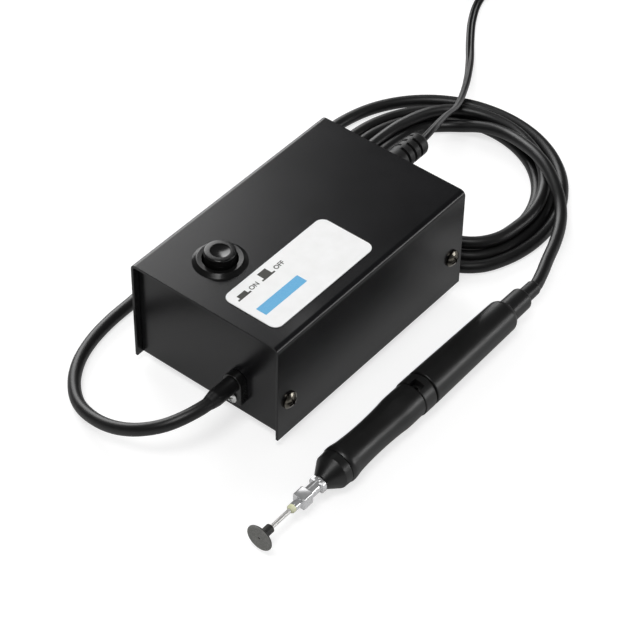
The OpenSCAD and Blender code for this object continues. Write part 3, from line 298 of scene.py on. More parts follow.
# %% The lead over all of them to the pen
hose_points += round_coil(
    (168, 23.8, 2.2), (154, 25.3, 2.2), (141, 27.8, 2.2), (129, 30.2, 2.2), (118, 31.2, 2.44),
    (107, 31.7, 3.44), (97, 32.6, 4.85), (87, 33.8, 5.93), (77, 34.5, 6.9), (68, 34.9, 8), (59, 35.6, 9.1),
    (50, 36.9, 10.1), (42, 38.6, 10.5), (33.5, 41, 10.1), (26, 43.5, 9.1), (19.5, 46.1, 7.8))
hose_points += [
    (39, 93.6, 7), (42.9, 87, 6.6), (45.7, 80.5, 6.3), (48.6, 72, 6.2), (51.5, 64, 6.4), (53, 58.5, 6.55),
    (53, 55.3, 6.55),
]
hose_route = through(hose_points, 1.6)
print("hose:", len(hose_points), "set points,", round(length_of(hose_route)), "mm long")

# %% [markdown]
# A curve with a round bevel is the natural tube: its own line is the centreline, and its thickness is one
# number. A straight-segment spline with close points keeps to the route, where a freer spline would cut
# the corners.

# %% The hose itself
HOSE_D = 4.4


def soft_line(name, route, tilts=None):
    """A curve of one open spline along a route, turned about itself by the tilts."""
    curve = bpy.data.curves.new(name, "CURVE")
    curve.dimensions = "3D"
    line = curve.splines.new("POLY")
    line.points.add(len(route) - 1)
    for point, place, tilt in zip(line.points, route, np.zeros(len(route)) if tilts is None else tilts):
        point.co = (*(place * MM), 1)
        point.tilt = tilt
    line.use_smooth = True
    piece = bpy.data.objects.new(name, curve)
    bpy.context.scene.collection.objects.link(piece)
    return piece


hose = soft_line("air_hose", hose_route)
hose.data.bevel_depth = HOSE_D / 2 * MM
hose.data.bevel_resolution = 6
hose.data.use_fill_caps = True
hose.data.materials.append(hose_rubber)
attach(hose, "pump_unit")
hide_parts("hose_front", "hose_coil", "hose_lead")

# %% [markdown]
# ## The power cord
# A flat twin cord leaves the strain relief at the back, sinks to the table and runs out of the picture.
# What the picture doesn't show is wound up and tied, as the cord is when the tool is stored: twelve turns
# in four layers, each turn one cord width from the next. Its section is a figure of eight, drawn as a
# small closed curve and carried along the route, then made a mesh.

# %% The route of the cord
CORD_W, CORD_T = 3.2, 1.8
BUNDLE_X, BUNDLE_Y = -84, 202
TIE_T = 0.5
cord_points = [
    (-1.8, 41.5, 35.1), (-1.8, 54, 35.1), (-1.8, 66, 35.1), (-4, 74.5, 33), (-8.5, 85.5, 27.5),
    (-13, 96.5, 21.5), (-17, 107, 15.5), (-21, 115.5, 11.2), (-24.8, 123, 8.3), (-28.8, 130.5, 6),
    (-33.5, 138.5, 4), (-39, 147, 2.4), (-46.5, 157.5, 0.9), (-53.4, 168, 0.95), (-58.2, 178, 1.1),
    (-60.7, 190, 1.3),
]
TURN_PITCH, LAYER_PITCH, TURNS, LAYERS = 3.3, 1.9, 3, 4
PER_TURN = 24
OUTER_R, TAIL_R = 23.2, 14
COIL_BASE = TIE_T + CORD_T / 2
COIL_TOP, PLUG_Z = COIL_BASE + LAYER_PITCH * (LAYERS - 1), 14.3
LIFT_FROM, QUARTER = 20, TAIL_R * math.pi / 2


def gently(part):
    """From 0 to 1 with a soft start and end."""
    part = min(1, max(0, part))
    return part * part * (3 - 2 * part)


def tail_height(gone):
    """Height of the cord's end, which lifts off the coil and goes up to the plug."""
    return COIL_TOP + (PLUG_Z - COIL_TOP) * gently((gone + LIFT_FROM) / (LIFT_FROM + QUARTER))


for layer in range(LAYERS):
    for k in range(TURNS * PER_TURN):
        done = k / PER_TURN
        inward = done if layer % 2 == 0 else TURNS - done
        radius = OUTER_R - TURN_PITCH * inward
        height = COIL_BASE + LAYER_PITCH * (layer + 1 - gently((TURNS - done) * 2.2))
        if layer == LAYERS - 1:
            height = tail_height(-math.tau * radius * (TURNS - done))
        angle = math.tau * done
        across, along = radius * math.cos(angle), radius * math.sin(angle)
        cord_points.append((BUNDLE_X + across, BUNDLE_Y + along, height))
for k in range(9):
    angle = math.pi / 2 * k / 8
    across, along = OUTER_R - TAIL_R + TAIL_R * math.cos(angle), TAIL_R * math.sin(angle)
    cord_points.append((BUNDLE_X + across, BUNDLE_Y + along, tail_height(TAIL_R * angle)))
cord_points.append((-79, BUNDLE_Y + TAIL_R, PLUG_Z))
cord_route = through(cord_points, 1.5)
print("power cord:", len(cord_points), "points,", round(length_of(cord_route)), "mm long")

# %% The twin section carried along the route
LOBE_R, LOBE_X = CORD_T / 2, (CORD_W - CORD_T) / 2
SPREAD = math.acos(LOBE_X / LOBE_R)
half = []
for k in range(11):
    angle = -(math.pi - SPREAD) + 2 * (math.pi - SPREAD) * k / 10
    half.append((LOBE_X + LOBE_R * math.cos(angle), LOBE_R * math.sin(angle)))
outline = half + [(-x, -y) for x, y in half[1:-1]]
section = bpy.data.curves.new("cord_section", "CURVE")
ring = section.splines.new("POLY")
ring.points.add(len(outline) - 1)
for point, (x, y) in zip(ring.points, outline):
    point.co = (x * MM, y * MM, 0, 1)
ring.use_cyclic_u = True
section_piece = bpy.data.objects.new("cord_section", section)
bpy.context.scene.collection.objects.link(section_piece)
gone = np.linspace(0, length_of(cord_route), len(cord_route))
twist = np.interp(gone, (0, 25, 60, 95, 110, 130), (-0.5, -0.5, -0.7, -0.85, -0.7, 0))
cord = soft_line("power_cord", cord_route, twist)
cord.data.twist_mode = "Z_UP"
cord.data.bevel_mode = "OBJECT"
cord.data.bevel_object = section_piece
cord.data.use_fill_caps = True
bpy.ops.object.select_all(action="DESELECT")
cord.select_set(True)
bpy.context.view_layer.objects.active = cord
bpy.ops.object.convert(target="MESH")
cord = bpy.context.object
bpy.data.objects.remove(section_piece)
cord.data.materials.clear()
cord.data.materials.append(cord_vinyl)
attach(cord, "pump_unit")
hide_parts("cord_lead", "cord_coil", "cord_tail")
print("cord mesh:", len(cord.data.polygons), "faces")

# %% [markdown]
# ## Helpers for modelling by hand
# A turned piece starts as one point that is extruded from corner to corner of its outline and then spun
# round an axis, just as it is turned on a lathe. A flat or boxy piece starts as a cube at its size and
# place. Both are then shaped in edit mode, where faces and edges are picked by their place.


# %% Start, pick, modify and settle
def clear():
    """Object mode with nothing selected."""
    if bpy.context.mode != "OBJECT":
        bpy.ops.object.mode_set(mode="OBJECT")
    bpy.ops.object.select_all(action="DESELECT")


def take(piece):
    clear()
    piece.select_set(True)
    bpy.context.view_layer.objects.active = piece


def pick(kind, test):
    """In edit mode, select the faces, edges or corners whose middle and direction pass a test."""
    bpy.ops.mesh.select_mode(type=kind)
    bpy.ops.mesh.select_all(action="DESELECT")
    data = bpy.context.object.data
    mesh = bmesh.from_edit_mesh(data)
    if kind == "FACE":
        found = [(f, f.calc_center_median() / MM, f.normal) for f in mesh.faces]
    elif kind == "EDGE":
        found = [(e, (e.verts[0].co + e.verts[1].co) / 2 / MM, (e.verts[1].co - e.verts[0].co).normalized())
                 for e in mesh.edges]
    else:
        found = [(v, v.co / MM, v.normal) for v in mesh.verts]
    for item, middle, direction in found:
        if test(middle, direction):
            item.select_set(True)
    bmesh.update_edit_mesh(data)


def modify(piece, kind, **settings):
    """Add a modifier with these settings and apply it."""
    take(piece)
    bpy.ops.object.modifier_add(type=kind)
    modifier = piece.modifiers[-1]
    for key, value in settings.items():
        setattr(modifier, key, value)
    bpy.ops.object.modifier_apply(modifier=modifier.name)


def soften(piece, width, steps=2, angle=35):
    """Round every edge sharper than the angle."""
    modify(piece, "BEVEL", width=width * MM, segments=steps, limit_method="ANGLE",
           angle_limit=math.radians(angle))


def cut(piece, cutter):
    """Take the cutter's shape out of the piece."""
    modify(piece, "BOOLEAN", operation="DIFFERENCE", object=cutter, solver="EXACT")
    bpy.data.objects.remove(cutter)


def join(name, *pieces):
    take(pieces[0])
    for piece in pieces[1:]:
        piece.select_set(True)
    bpy.ops.object.join()
    bpy.context.object.name = name
    return bpy.context.object


def settle(piece, material, body="pump_unit", stands_for=(), smooth=35):
    """Put the place in the mesh, smooth it, and give it its finish, slot and body."""
    take(piece)
    bpy.ops.object.transform_apply(location=True, rotation=True, scale=True)
    bpy.ops.object.shade_smooth_by_angle(angle=math.radians(smooth))
    modify(piece, "WEIGHTED_NORMAL", keep_sharp=True, weight=90)
    piece.data.materials.clear()
    piece.data.materials.append(material)
    if body:
        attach(piece, body)
    if stands_for:
        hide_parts(*stands_for)
    print(piece.name, len(piece.data.polygons), "faces")
    return piece


# %% A cube at its size and place, and a lathe
def block(name, low, high):
    """A cube between two corners."""
    low, high = Vector(low) * MM, Vector(high) * MM
    clear()
    bpy.ops.mesh.primitive_cube_add(size=1, location=(low + high) / 2, scale=high - low)
    bpy.ops.object.transform_apply(location=True, rotation=True, scale=True)
    bpy.context.object.name = name
    return bpy.context.object


def lathe(name, outline, origin, axis, sides=64, turn=math.tau, start=None):
    """Draw an outline of (along, out) corners beside an axis and spin it."""
    axis = Vector(axis)
    side = Vector(start) if start else axis.orthogonal().normalized()
    corners = [(Vector(origin) + axis * s + side * r) * MM for s, r in outline]
    clear()
    bpy.ops.mesh.primitive_plane_add(size=MM, location=corners[0])
    piece = bpy.context.object
    piece.name = name
    bpy.ops.object.mode_set(mode="EDIT")
    bpy.ops.mesh.select_mode(type="VERT")
    bpy.ops.mesh.select_all(action="SELECT")
    bpy.ops.mesh.merge(type="CENTER")
    for here, there in zip(corners, corners[1:]):
        bpy.ops.mesh.extrude_region_move(TRANSFORM_OT_translate={"value": there - here})
    bpy.ops.mesh.select_all(action="SELECT")
    bpy.ops.mesh.remove_doubles(threshold=1e-7)
    bpy.ops.mesh.select_all(action="SELECT")
    if turn < math.tau:
        bpy.ops.mesh.edge_face_add()
    bpy.ops.mesh.spin(steps=sides, angle=turn, center=Vector(origin) * MM, axis=axis)
    bpy.ops.mesh.select_all(action="SELECT")
    bpy.ops.mesh.remove_doubles(threshold=1e-7)
    bpy.ops.mesh.normals_make_consistent(inside=False)
    bpy.ops.object.mode_set(mode="OBJECT")
    return piece


def eased(*corners, steps=5):
    """An outline whose corners (along, out, radius) are rounded."""
    line = []
    for i, (s, r, radius) in enumerate(corners):
        here = Vector((s, r))
        if not radius:
            line.append((s, r))
            continue
        before = (Vector(corners[i - 1][:2]) - here).normalized()
        after = (Vector(corners[(i + 1) % len(corners)][:2]) - here).normalized()
        bend = before.angle(after) / 2
        centre = here + (before + after).normalized() * radius / math.sin(bend)
        reach = radius / math.tan(bend)
        first, last = here + before * reach - centre, here + after * reach - centre
        for k in range(steps + 1):
            way = first.lerp(last, k / steps)
            line.append(tuple(centre + way.normalized() * radius))
    return line


def closed(outline):
    return list(outline) + [outline[0]]


# %% [markdown]
# ## The case
# The cover is one sheet of steel folded into a lid with two sides. It is made the same way: a cube loses
# three faces, its two long edges are bent round, and the sheet gets its thickness inwards. The paint is
# black, semi-gloss, with the slight orange peel of a sprayed coat and a little dust in its gloss.

# %% Case paint
case_paint = Finish("case_paint", IOR=1.39)
haze = case_paint.noise(55, 5)
peel = case_paint.noise(1100, 2)
case_paint.tint(haze, (0.005, 0.005, 0.0056), (0.0075, 0.0075, 0.0084))
case_paint.set("Roughness", 0.19 + haze * 0.07 + peel * 0.03)
case_paint.bump(peel, 0.05, 0.05)
case_paint = case_paint.material

# %% The folded cover
cover = block("folded_cover", (-30, -47.5, 3), (30, 47.5, 43))
bpy.ops.object.mode_set(mode="EDIT")
pick("FACE", lambda at, out: out.z < -0.9 or abs(out.y) > 0.9)
bpy.ops.mesh.delete(type="FACE")
pick("EDGE", lambda at, run: at.z > 42 and abs(run.y) > 0.9)
bpy.ops.mesh.bevel(offset=2 * MM, segments=8, affect="EDGES")
bpy.ops.object.mode_set(mode="OBJECT")
modify(cover, "SOLIDIFY", thickness=1 * MM, offset=-1)
SWITCH = (-9.4, -28.4, 0)
cut(cover, lathe("switch_hole", [(40, 0), (40, 7.1), (45, 7.1), (45, 0)], SWITCH, (0, 0, 1)))
soften(cover, 0.14, 2, 50)
settle(cover, case_paint, stands_for=["cover"])

# %% [markdown]
# ## Screws
# Four pan-head screws hold the cover to the chassis. One head is turned on the lathe, its cross recess is
# cut with two small wedges, and it is then copied to the other corners. The plating is dark nickel, so it
# shows sharp glints and fine turning marks.

# %% Plated metals
def plated(name, low, high, gloss, scale=900, stretch=(1, 1, 1), mark=0.05, metal=1.0):
    """Bright metal with faint marks in its colour and gloss."""
    finish = Finish(name, Metallic=metal)
    marks = finish.noise(scale, 4, stretch)
    finish.tint(marks, low, high)
    finish.set("Roughness", gloss + marks * 0.06)
    finish.bump(marks, mark, 0.03)
    return finish.material


dark_nickel = plated("dark_nickel", (0.11, 0.102, 0.086), (0.2, 0.186, 0.158), 0.2)
bright_zinc = plated("bright_zinc", (0.62, 0.62, 0.61), (0.76, 0.76, 0.75), 0.16)
bright_chrome = plated("bright_chrome", (0.76, 0.76, 0.77), (0.86, 0.86, 0.87), 0.06, 500,
                       mark=0.008, metal=0.7)
needle_steel = plated("needle_steel", (0.68, 0.67, 0.65), (0.8, 0.79, 0.77), 0.28, 700,
                      (1, 0.1, 1), 0.01, 0.6)
turned_brass = plated("turned_brass", (0.55, 0.4, 0.18), (0.7, 0.54, 0.28), 0.22, 600)


# %% Pan heads with a cross recess
def pan_head(name, place, axis, size, height, slot_long, slot_wide, turn):
    """A domed screw head with a cross recess."""
    rim = size / 2
    dome = [(height - (height - 0.35 * height) * (k / 8) ** 2.2, rim * k / 8) for k in range(9)]
    head = lathe(name, [*dome, (0.08 * height, rim), (0, rim - 0.06), (-0.1, 0)], place, axis, 40)
    away = Vector(axis).to_track_quat("Z", "Y")
    for spin in (turn, turn + 90):
        clear()
        middle = (Vector(place) + Vector(axis) * (height - 0.1)) * MM
        bpy.ops.mesh.primitive_cube_add(size=1)
        wedge = bpy.context.object
        wedge.scale = Vector((slot_long, slot_wide, 1.7)) * MM
        wedge.rotation_mode = "QUATERNION"
        wedge.rotation_quaternion = away @ Matrix.Rotation(math.radians(spin), 3, "Z").to_quaternion()
        wedge.location = middle
        bpy.ops.object.transform_apply(location=True, rotation=True, scale=True)
        cut(head, wedge)
    return head


def copy_of(piece, name, shift=(0, 0, 0), half_turn=False):
    """A copy with its own mesh, moved or turned half round the case's middle."""
    take(piece)
    bpy.ops.object.duplicate(linked=False)
    made = bpy.context.object
    made.name = name
    if half_turn:
        made.matrix_world = Matrix.Rotation(math.pi, 4, "Z") @ made.matrix_world
    made.location += Vector(shift) * MM
    return made


screw = pan_head("cover_screw_1", (30, -42, 17.5), (1, 0, 0), 6, 2, 3.5, 0.72, 22)
screws = [screw, copy_of(screw, "cover_screw_2", (0, 84, 0)),
          copy_of(screw, "cover_screw_3", half_turn=True)]
screws.append(copy_of(screws[2], "cover_screw_4", (0, -84, 0)))
for screw in screws:
    settle(screw, dark_nickel, stands_for=["cover_screws"], smooth=40)

# %% [markdown]
# ## The label
# A white printed film with round corners. Beside the switch it shows which position is on and which is
# off: a low block on a line for the pressed button, a tall block for the raised one. The rest carries a
# plain blue bar. The print is modelled as very thin shapes on the film, so that its edges stay sharp.

# %% Film and inks
label_film = Finish("label_film", IOR=1.45)
fibre = label_film.noise(240, 4)
label_film.tint(fibre, (0.83, 0.83, 0.825), (0.87, 0.87, 0.87))
label_film.set("Roughness", 0.3 + fibre * 0.12)
label_film = label_film.material


def ink(name, low, high):
    finish = Finish(name, IOR=1.45)
    spread = finish.noise(2500, 3)
    finish.tint(spread, low, high)
    finish.set("Roughness", 0.35 + spread * 0.1)
    return finish.material


dark_ink = ink("dark_ink", (0.03, 0.029, 0.024), (0.05, 0.048, 0.04))
blue_ink = ink("blue_ink", (0.095, 0.38, 0.66), (0.13, 0.43, 0.7))

# %% The film
film = block("label_film", (2.1, -41.05, 43), (24.1, 7.65, 43.3))
bpy.ops.object.mode_set(mode="EDIT")
pick("EDGE", lambda at, run: abs(run.z) > 0.9)
bpy.ops.mesh.bevel(offset=3 * MM, segments=10, affect="EDGES")
bpy.ops.object.mode_set(mode="OBJECT")
soften(film, 0.06, 2, 60)
settle(film, label_film, stands_for=["label_plate"])

# %% The print
FILM_TOP, INK_TOP = 43.28, 43.325


def printed(name, low, high, material):
    mark = block(name, (*low, FILM_TOP), (*high, INK_TOP))
    soften(mark, 0.015, 1, 60)
    settle(mark, material)


def word(name, body, x, y, size):
    """A word that reads along the case, made a mesh before it is placed."""
    clear()
    bpy.ops.object.text_add()
    text = bpy.context.object
    text.data.body = body
    text.data.size = size * MM
    text.data.extrude = 0.01 * MM
    text.data.offset = 0.05 * MM
    text.data.align_x = "CENTER"
    text.data.align_y = "CENTER"
    bpy.ops.object.convert(target="MESH")
    text = bpy.context.object
    text.name = name
    text.rotation_euler = (0, 0, math.pi / 2)
    text.location = Vector((x, y, INK_TOP - 0.01)) * MM
    settle(text, dark_ink, smooth=20)


printed("on_line", (6.75, -38.9), (7.4, -32.9), dark_ink)
printed("on_block", (5.3, -37.8), (6.75, -34.0), dark_ink)
printed("off_line", (6.6, -27.3), (7.25, -21.3), dark_ink)
printed("off_block", (3.7, -26.2), (6.6, -22.4), dark_ink)
word("on_word", "ON", 6.35, -30.6, 2.45)
word("off_word", "OFF", 6.2, -18.4, 2.45)
printed("blue_bar", (13.4, -38.1), (17.5, -18.3), blue_ink)

# %% [markdown]
# ## The push switch
# A round bezel holds a push button with a dished top. Both are turned shapes: the bezel is a flat ring
# with a sloping flank, and the button has a soft rim and a lip round its dish. Gloss black plastic
# mirrors the room, so its grain is very faint.

# %% Gloss plastic
switch_gloss = Finish("switch_gloss", IOR=1.5)
swirl = switch_gloss.noise(420, 3)
switch_gloss.tint(swirl, (0.004, 0.004, 0.004), (0.006, 0.006, 0.006))
switch_gloss.set("Roughness", 0.16 + swirl * 0.08)
switch_gloss.bump(swirl, 0.02, 0.03)
switch_gloss = switch_gloss.material

# %% Bezel and button
bezel = lathe("switch_bezel_ring", closed(eased(
    (36, 5.8, 0), (44.25, 5.8, 0.2), (44.3, 7.45, 0.25), (43.25, 8.75, 0.6), (43, 9, 0), (43, 6.95, 0),
    (36, 6.95, 0))), SWITCH, (0, 0, 1), 80)
settle(bezel, switch_gloss, stands_for=["switch_bezel"])
DISH_R, DISH_LOW, LIP, BUTTON_TOP = 3.2, 46.7, 47.15, 47.4
dish = [(DISH_LOW + (LIP - DISH_LOW) * (k / 10) ** 2, DISH_R * k / 10) for k in range(11)]
rim = eased((BUTTON_TOP, DISH_R + 0.1, 0), (BUTTON_TOP, 5.15, 0.45), (40.4, 5.15, 0), (40.4, 2, 0))
button = lathe("push_button", [*dish, *rim, (36, 2), (36, 0)], SWITCH, (0, 0, 1), 80)
settle(button, switch_gloss, "button", ["switch_button"])

# %% [markdown]
# ## The hose outlet
# A small bridge block on the front panel carries the hose nipple, with a bright screw under it. The block
# is a cube with its two upper edges rounded into an arch. The sleeve over the hose end is a short turned
# tube.

# %% Satin black plastic
def satin(name, dark, pale, gloss, skin):
    """Moulded satin plastic with a fine skin and faint flow marks."""
    finish = Finish(name, IOR=1.5)
    flow = finish.noise(140, 5)
    grain = finish.noise(3200, 2)
    finish.tint(flow, [dark] * 3, [pale] * 3)
    finish.set("Roughness", gloss + flow * 0.08 + grain * 0.05)
    finish.bump(grain, skin, 0.04)
    return finish.material


pen_plastic = satin("pen_plastic", 0.006, 0.009, 0.3, 0.08)
block_plastic = satin("block_plastic", 0.004, 0.006, 0.22, 0.06)
white_plastic = satin("white_plastic", 0.72, 0.79, 0.38, 0.08)

# %% Bridge block, screw and sleeve
bridge = block("outlet_bridge", (8.1, -48, 9.2), (15.3, -45, 20.7))
bpy.ops.object.mode_set(mode="EDIT")
pick("EDGE", lambda at, run: at.z > 20 and abs(run.y) > 0.9)
bpy.ops.mesh.bevel(offset=3.58 * MM, segments=14, affect="EDGES")
bpy.ops.object.mode_set(mode="OBJECT")
soften(bridge, 0.3, 3, 40)
settle(bridge, block_plastic, stands_for=["outlet_block"])
outlet_screw = pan_head("outlet_screw_head", (11.7, -48, 11.6), (0, -1, 0), 4.4, 1.3, 2.7, 0.6, 30)
settle(outlet_screw, bright_zinc, stands_for=["outlet_screw"], smooth=40)
outlet_sleeve = lathe("outlet_sleeve_tube", closed(eased(
    (0, 1.7, 0), (0, 2.85, 0.15), (8.2, 2.85, 2), (11, 2.32, 0.1), (11, 2.15, 0), (5, 2.15, 0), (5, 1.7, 0))),
    (11.7, -48, 17.1), (0, -1, 0), 48)
settle(outlet_sleeve, hose_rubber, stands_for=["outlet_sleeve"])

# %% [markdown]
# ## The strain relief
# Where the cord leaves the back panel it runs through a ribbed rubber relief that keeps it from kinking.
# Its slots don't go all the way round: they alternate from side to side, so that the rubber bends like a
# spring. The body is turned, and each slot is cut with a half ring.

# %% Relief with staggered slots
RELIEF = (-1.8, 45, 35.1)
relief = lathe("cord_relief", eased(
    (-3.4, 0, 0), (-3.4, 5, 0.3), (-1.1, 5, 0), (-1.1, 3.4, 0), (0, 3.4, 0), (0, 4.2, 0.2), (21, 4.1, 2.2),
    (21, 0, 0)), RELIEF, (0, 1, 0), 56)
for side, places in ((1, (10.9, 14.1, 17.3)), (-1, (9.3, 12.5, 15.7))):
    for s in places:
        ring = closed([(s, 2.9), (s, 6), (s + 1.0, 6), (s + 1.0, 2.9)])
        start = (-0.3 * side, 0, 0.95 * side)
        cut(relief, lathe("slot", ring, RELIEF, (0, 1, 0), 24, math.radians(165), start))
soften(relief, 0.12, 2, 50)
settle(relief, relief_rubber, stands_for=["cord_bushing"])

# %% [markdown]
# ## Feet, tie and plug
# Four rubber feet are turned once and copied. The tie round the coiled cord is a bent strip, and the plug
# at the end of the cord is a moulded body that narrows towards the cord, with two flat blades.

# %% Feet
foot_line = eased((2.5, 0, 0), (2.5, 4.5, 0.2), (0, 4.2, 0.5), (0, 0, 0))
foot = lathe("foot_1", foot_line, (20, -36, 0), (0, 0, 1), 40)
feet = [foot, copy_of(foot, "foot_2", (0, 72, 0)), copy_of(foot, "foot_3", half_turn=True)]
feet.append(copy_of(feet[2], "foot_4", (0, -72, 0)))
for foot in feet:
    settle(foot, foot_rubber, stands_for=["feet"])

# %% Cord tie
tie = block("cord_strap", (-86.5, 177.6, 0), (-81.5, 188.8, 8.7))
bpy.ops.object.mode_set(mode="EDIT")
pick("FACE", lambda at, out: abs(out.x) > 0.9)
bpy.ops.mesh.delete(type="FACE")
pick("EDGE", lambda at, run: abs(run.x) > 0.9)
bpy.ops.mesh.bevel(offset=1.6 * MM, segments=5, affect="EDGES")
bpy.ops.object.mode_set(mode="OBJECT")
modify(tie, "SOLIDIFY", thickness=TIE_T * MM, offset=-1)
soften(tie, 0.12, 2, 50)
settle(tie, cord_vinyl, stands_for=["cord_tie"])

# %% Plug body
plug = block("plug_shell", (-104, 208, 9.3), (-93, 224, 19.3))
bpy.ops.object.mode_set(mode="EDIT")
for reach, shrink in ((5, 0.86), (6, 0.62), (4, 0.75), (4, 0.9)):
    pick("FACE", lambda at, out: out.x > 0.9)
    bpy.ops.mesh.extrude_region_move(TRANSFORM_OT_translate={"value": (reach * MM, 0, 0)})
    bpy.ops.transform.resize(value=(1, shrink, shrink))
pick("EDGE", lambda at, run: abs(run.x) > 0.7)
bpy.ops.mesh.bevel(offset=1.6 * MM, segments=4, affect="EDGES")
bpy.ops.object.mode_set(mode="OBJECT")
soften(plug, 0.35, 3, 25)
settle(plug, cord_vinyl, stands_for=["plug_body"])

# %% Plug blades
for i, y in enumerate((209.65, 222.35)):
    blade = block(f"plug_blade_{i + 1}", (-120, y - 0.75, 11.15), (-103, y + 0.75, 17.45))
    bpy.ops.object.mode_set(mode="EDIT")
    pick("EDGE", lambda at, run: at.x < -119 and abs(run.y) > 0.9)
    bpy.ops.mesh.bevel(offset=1.8 * MM, segments=5, affect="EDGES")
    bpy.ops.object.mode_set(mode="OBJECT")
    cut(blade, lathe("blade_hole", [(-2, 0), (-2, 1.6), (2, 1.6), (2, 0)], (-116, y, 14.3), (0, 1, 0), 24))
    soften(blade, 0.12, 2, 50)
    settle(blade, turned_brass, stands_for=["plug_blades"])

# %% [markdown]
# ## The pen
# The pen is a stack of turned pieces on one axis: a rubber suction pad on a steel needle, a chrome hub
# with a square middle, a nose cone, a waisted grip, a collar with a finger window, a barrel, and a
# stepped tail where the hose goes in. Distances are measured along the pen from the face of the pad.

# %% Pad rubber and sealing bead
pad_rubber = Finish("pad_rubber", IOR=1.5)
grit = pad_rubber.noise(2200, 3)
along = pad_rubber.node("ShaderNodeSeparateXYZ", {}, {"Vector": pad_rubber.place}, "Y")
behind = pad_rubber.node("ShaderNodeMapRange", {"interpolation_type": "SMOOTHSTEP"},
                         {"Value": along, "From Min": -83.9 * MM, "From Max": -83.6 * MM})
face = pad_rubber.ramp(grit, (0.17, 0.17, 0.16), (0.28, 0.28, 0.265))
flank = pad_rubber.ramp(grit, (0.014, 0.014, 0.013), (0.028, 0.028, 0.026))
pad_rubber.set("Base Color", pad_rubber.mix(behind, face, flank))
pad_rubber.set("Roughness", 0.62 - behind * 0.2 + grit * 0.1)
pad_rubber.bump(grit, 0.35, 0.06)
pad_rubber = pad_rubber.material
bead_resin = Finish("bead_resin", IOR=1.5)
cloud = bead_resin.noise(900, 3)
bead_resin.tint(cloud, (0.78, 0.8, 0.48), (0.88, 0.88, 0.66))
bead_resin.set("Roughness", 0.18 + cloud * 0.1)
bead_resin = bead_resin.material

# %% Pad, needle and bead
PEN = (53, -84, 6.55)
ALONG = (0, 1, 0)
pad = lathe("pad_disc", closed(eased(
    (0.1, 0.42, 0), (0, 4.62, 0.2), (0.55, 4.7, 0.25), (0.9, 4.3, 0.2), (1.15, 2.3, 0.6), (1.9, 1.55, 0.5),
    (5.5, 1.55, 0.15), (5.5, 0.76, 0), (1.6, 0.76, 0), (1.6, 0.42, 0))), PEN, ALONG)
settle(pad, pad_rubber, "pad", ["suction_pad"])
needle = lathe("needle", closed([(1.65, 0.42), (1.65, 0.735), (20.2, 0.735), (20.2, 0.42)]), PEN, ALONG, 32)
soften(needle, 0.06, 2)
settle(needle, needle_steel, "nozzle", ["needle_tube"])
bead = lathe("sealing_bead", closed(eased(
    (14.4, 0.74, 0), (14.45, 1.05, 0.15), (15.0, 1.47, 0.35), (16.05, 1.47, 0.15), (16.05, 0.74, 0))),
    PEN, ALONG, 40)
settle(bead, bead_resin, "nozzle", ["needle_bead"])

# %% Chrome hub: turned ends joined to a square middle
turned = lathe("hub_turned", closed(eased(
    (16, 0.75, 0), (16, 1.5, 0.15), (20, 1.5, 0), (20, 2.0, 0), (28, 2.0, 0), (28, 2.4, 0.15),
    (29.1, 2.4, 0.15), (29.1, 1.52, 0), (22.6, 1.26, 0), (22.6, 0.75, 0))), PEN, ALONG, 56)
ears = lathe("hub_ears", closed(eased(
    (27.2, 1.8, 0), (27.2, 3.0, 0.35), (29.05, 3.0, 0.35), (29.05, 1.8, 0))), PEN, ALONG, 56)
for low, high in ((8.35, 12), (1, 4.75)):
    cut(ears, block("trim", (48, -58, low), (58, -54, high)))
soften(ears, 0.15, 2, 40)
square = block("hub_square", (50.65, -65.3, 4.2), (55.35, -61, 8.9))
bpy.ops.object.mode_set(mode="EDIT")
pick("EDGE", lambda at, run: abs(run.y) > 0.9)
bpy.ops.mesh.bevel(offset=0.55 * MM, segments=3, affect="EDGES")
bpy.ops.object.mode_set(mode="OBJECT")
soften(square, 0.22, 2, 40)
hub = join("needle_hub_chrome", turned, square, ears)
settle(hub, bright_chrome, "nozzle", ["needle_hub"], 30)

# %% Nose cone and grip
nose = lathe("nose_taper", closed(eased(
    (22.8, 0.8, 0), (22.8, 1.2, 0), (29.3, 1.45, 0), (29.3, 2.7, 0.2), (34.7, 6.08, 0.5), (37.6, 6.2, 0.12),
    (37.65, 3.8, 0), (45.1, 3.8, 0), (45.1, 0.8, 0))), PEN, ALONG, 80)
settle(nose, pen_plastic, stands_for=["nose_cone"])
grip_shape = [
    (37.85, 6.15), (38.1, 6.42), (39.1, 6.5), (42.5, 6.05), (46.3, 5.75), (53.7, 5.55), (59.5, 5.65),
    (63.5, 5.85), (66.5, 6.1), (70, 6.12), (74.6, 6.05),
]
grip_line = [tuple(p) for p in through(grip_shape, 0.9)]
grip = lathe("grip_sleeve", closed([(37.85, 4.1), *grip_line, (74.6, 4.1)]), PEN, ALONG, 80)
settle(grip, pen_plastic, stands_for=["grip"])

# %% Vent collar with its finger window, barrel and tail
collar = lathe("collar_ring", closed(eased(
    (74.75, 4.1, 0), (74.75, 6.4, 0.3), (80.1, 6.4, 0.25), (80.1, 4.1, 0))), PEN, ALONG, 80)
window = block("window", (56, -9.5, 4.55), (62, -6.3, 8.55))
window.matrix_world = (Matrix.Translation(Vector(PEN) * MM) @ Matrix.Rotation(math.radians(-82), 4, "Y")
                       @ Matrix.Translation(-Vector(PEN) * MM))
take(window)
bpy.ops.object.transform_apply(location=True, rotation=True, scale=True)
cut(collar, window)
soften(collar, 0.22, 3, 50)
settle(collar, pen_plastic, stands_for=["vent_collar"])
barrel = lathe("barrel_tube", closed(eased(
    (80.2, 3.1, 0), (80.2, 5.6, 0), (80.9, 5.6, 0), (80.9, 6.4, 0.4), (126.1, 5.75, 2.6), (126.1, 3.1, 0))),
    PEN, ALONG, 80)
settle(barrel, pen_plastic, stands_for=["barrel"])
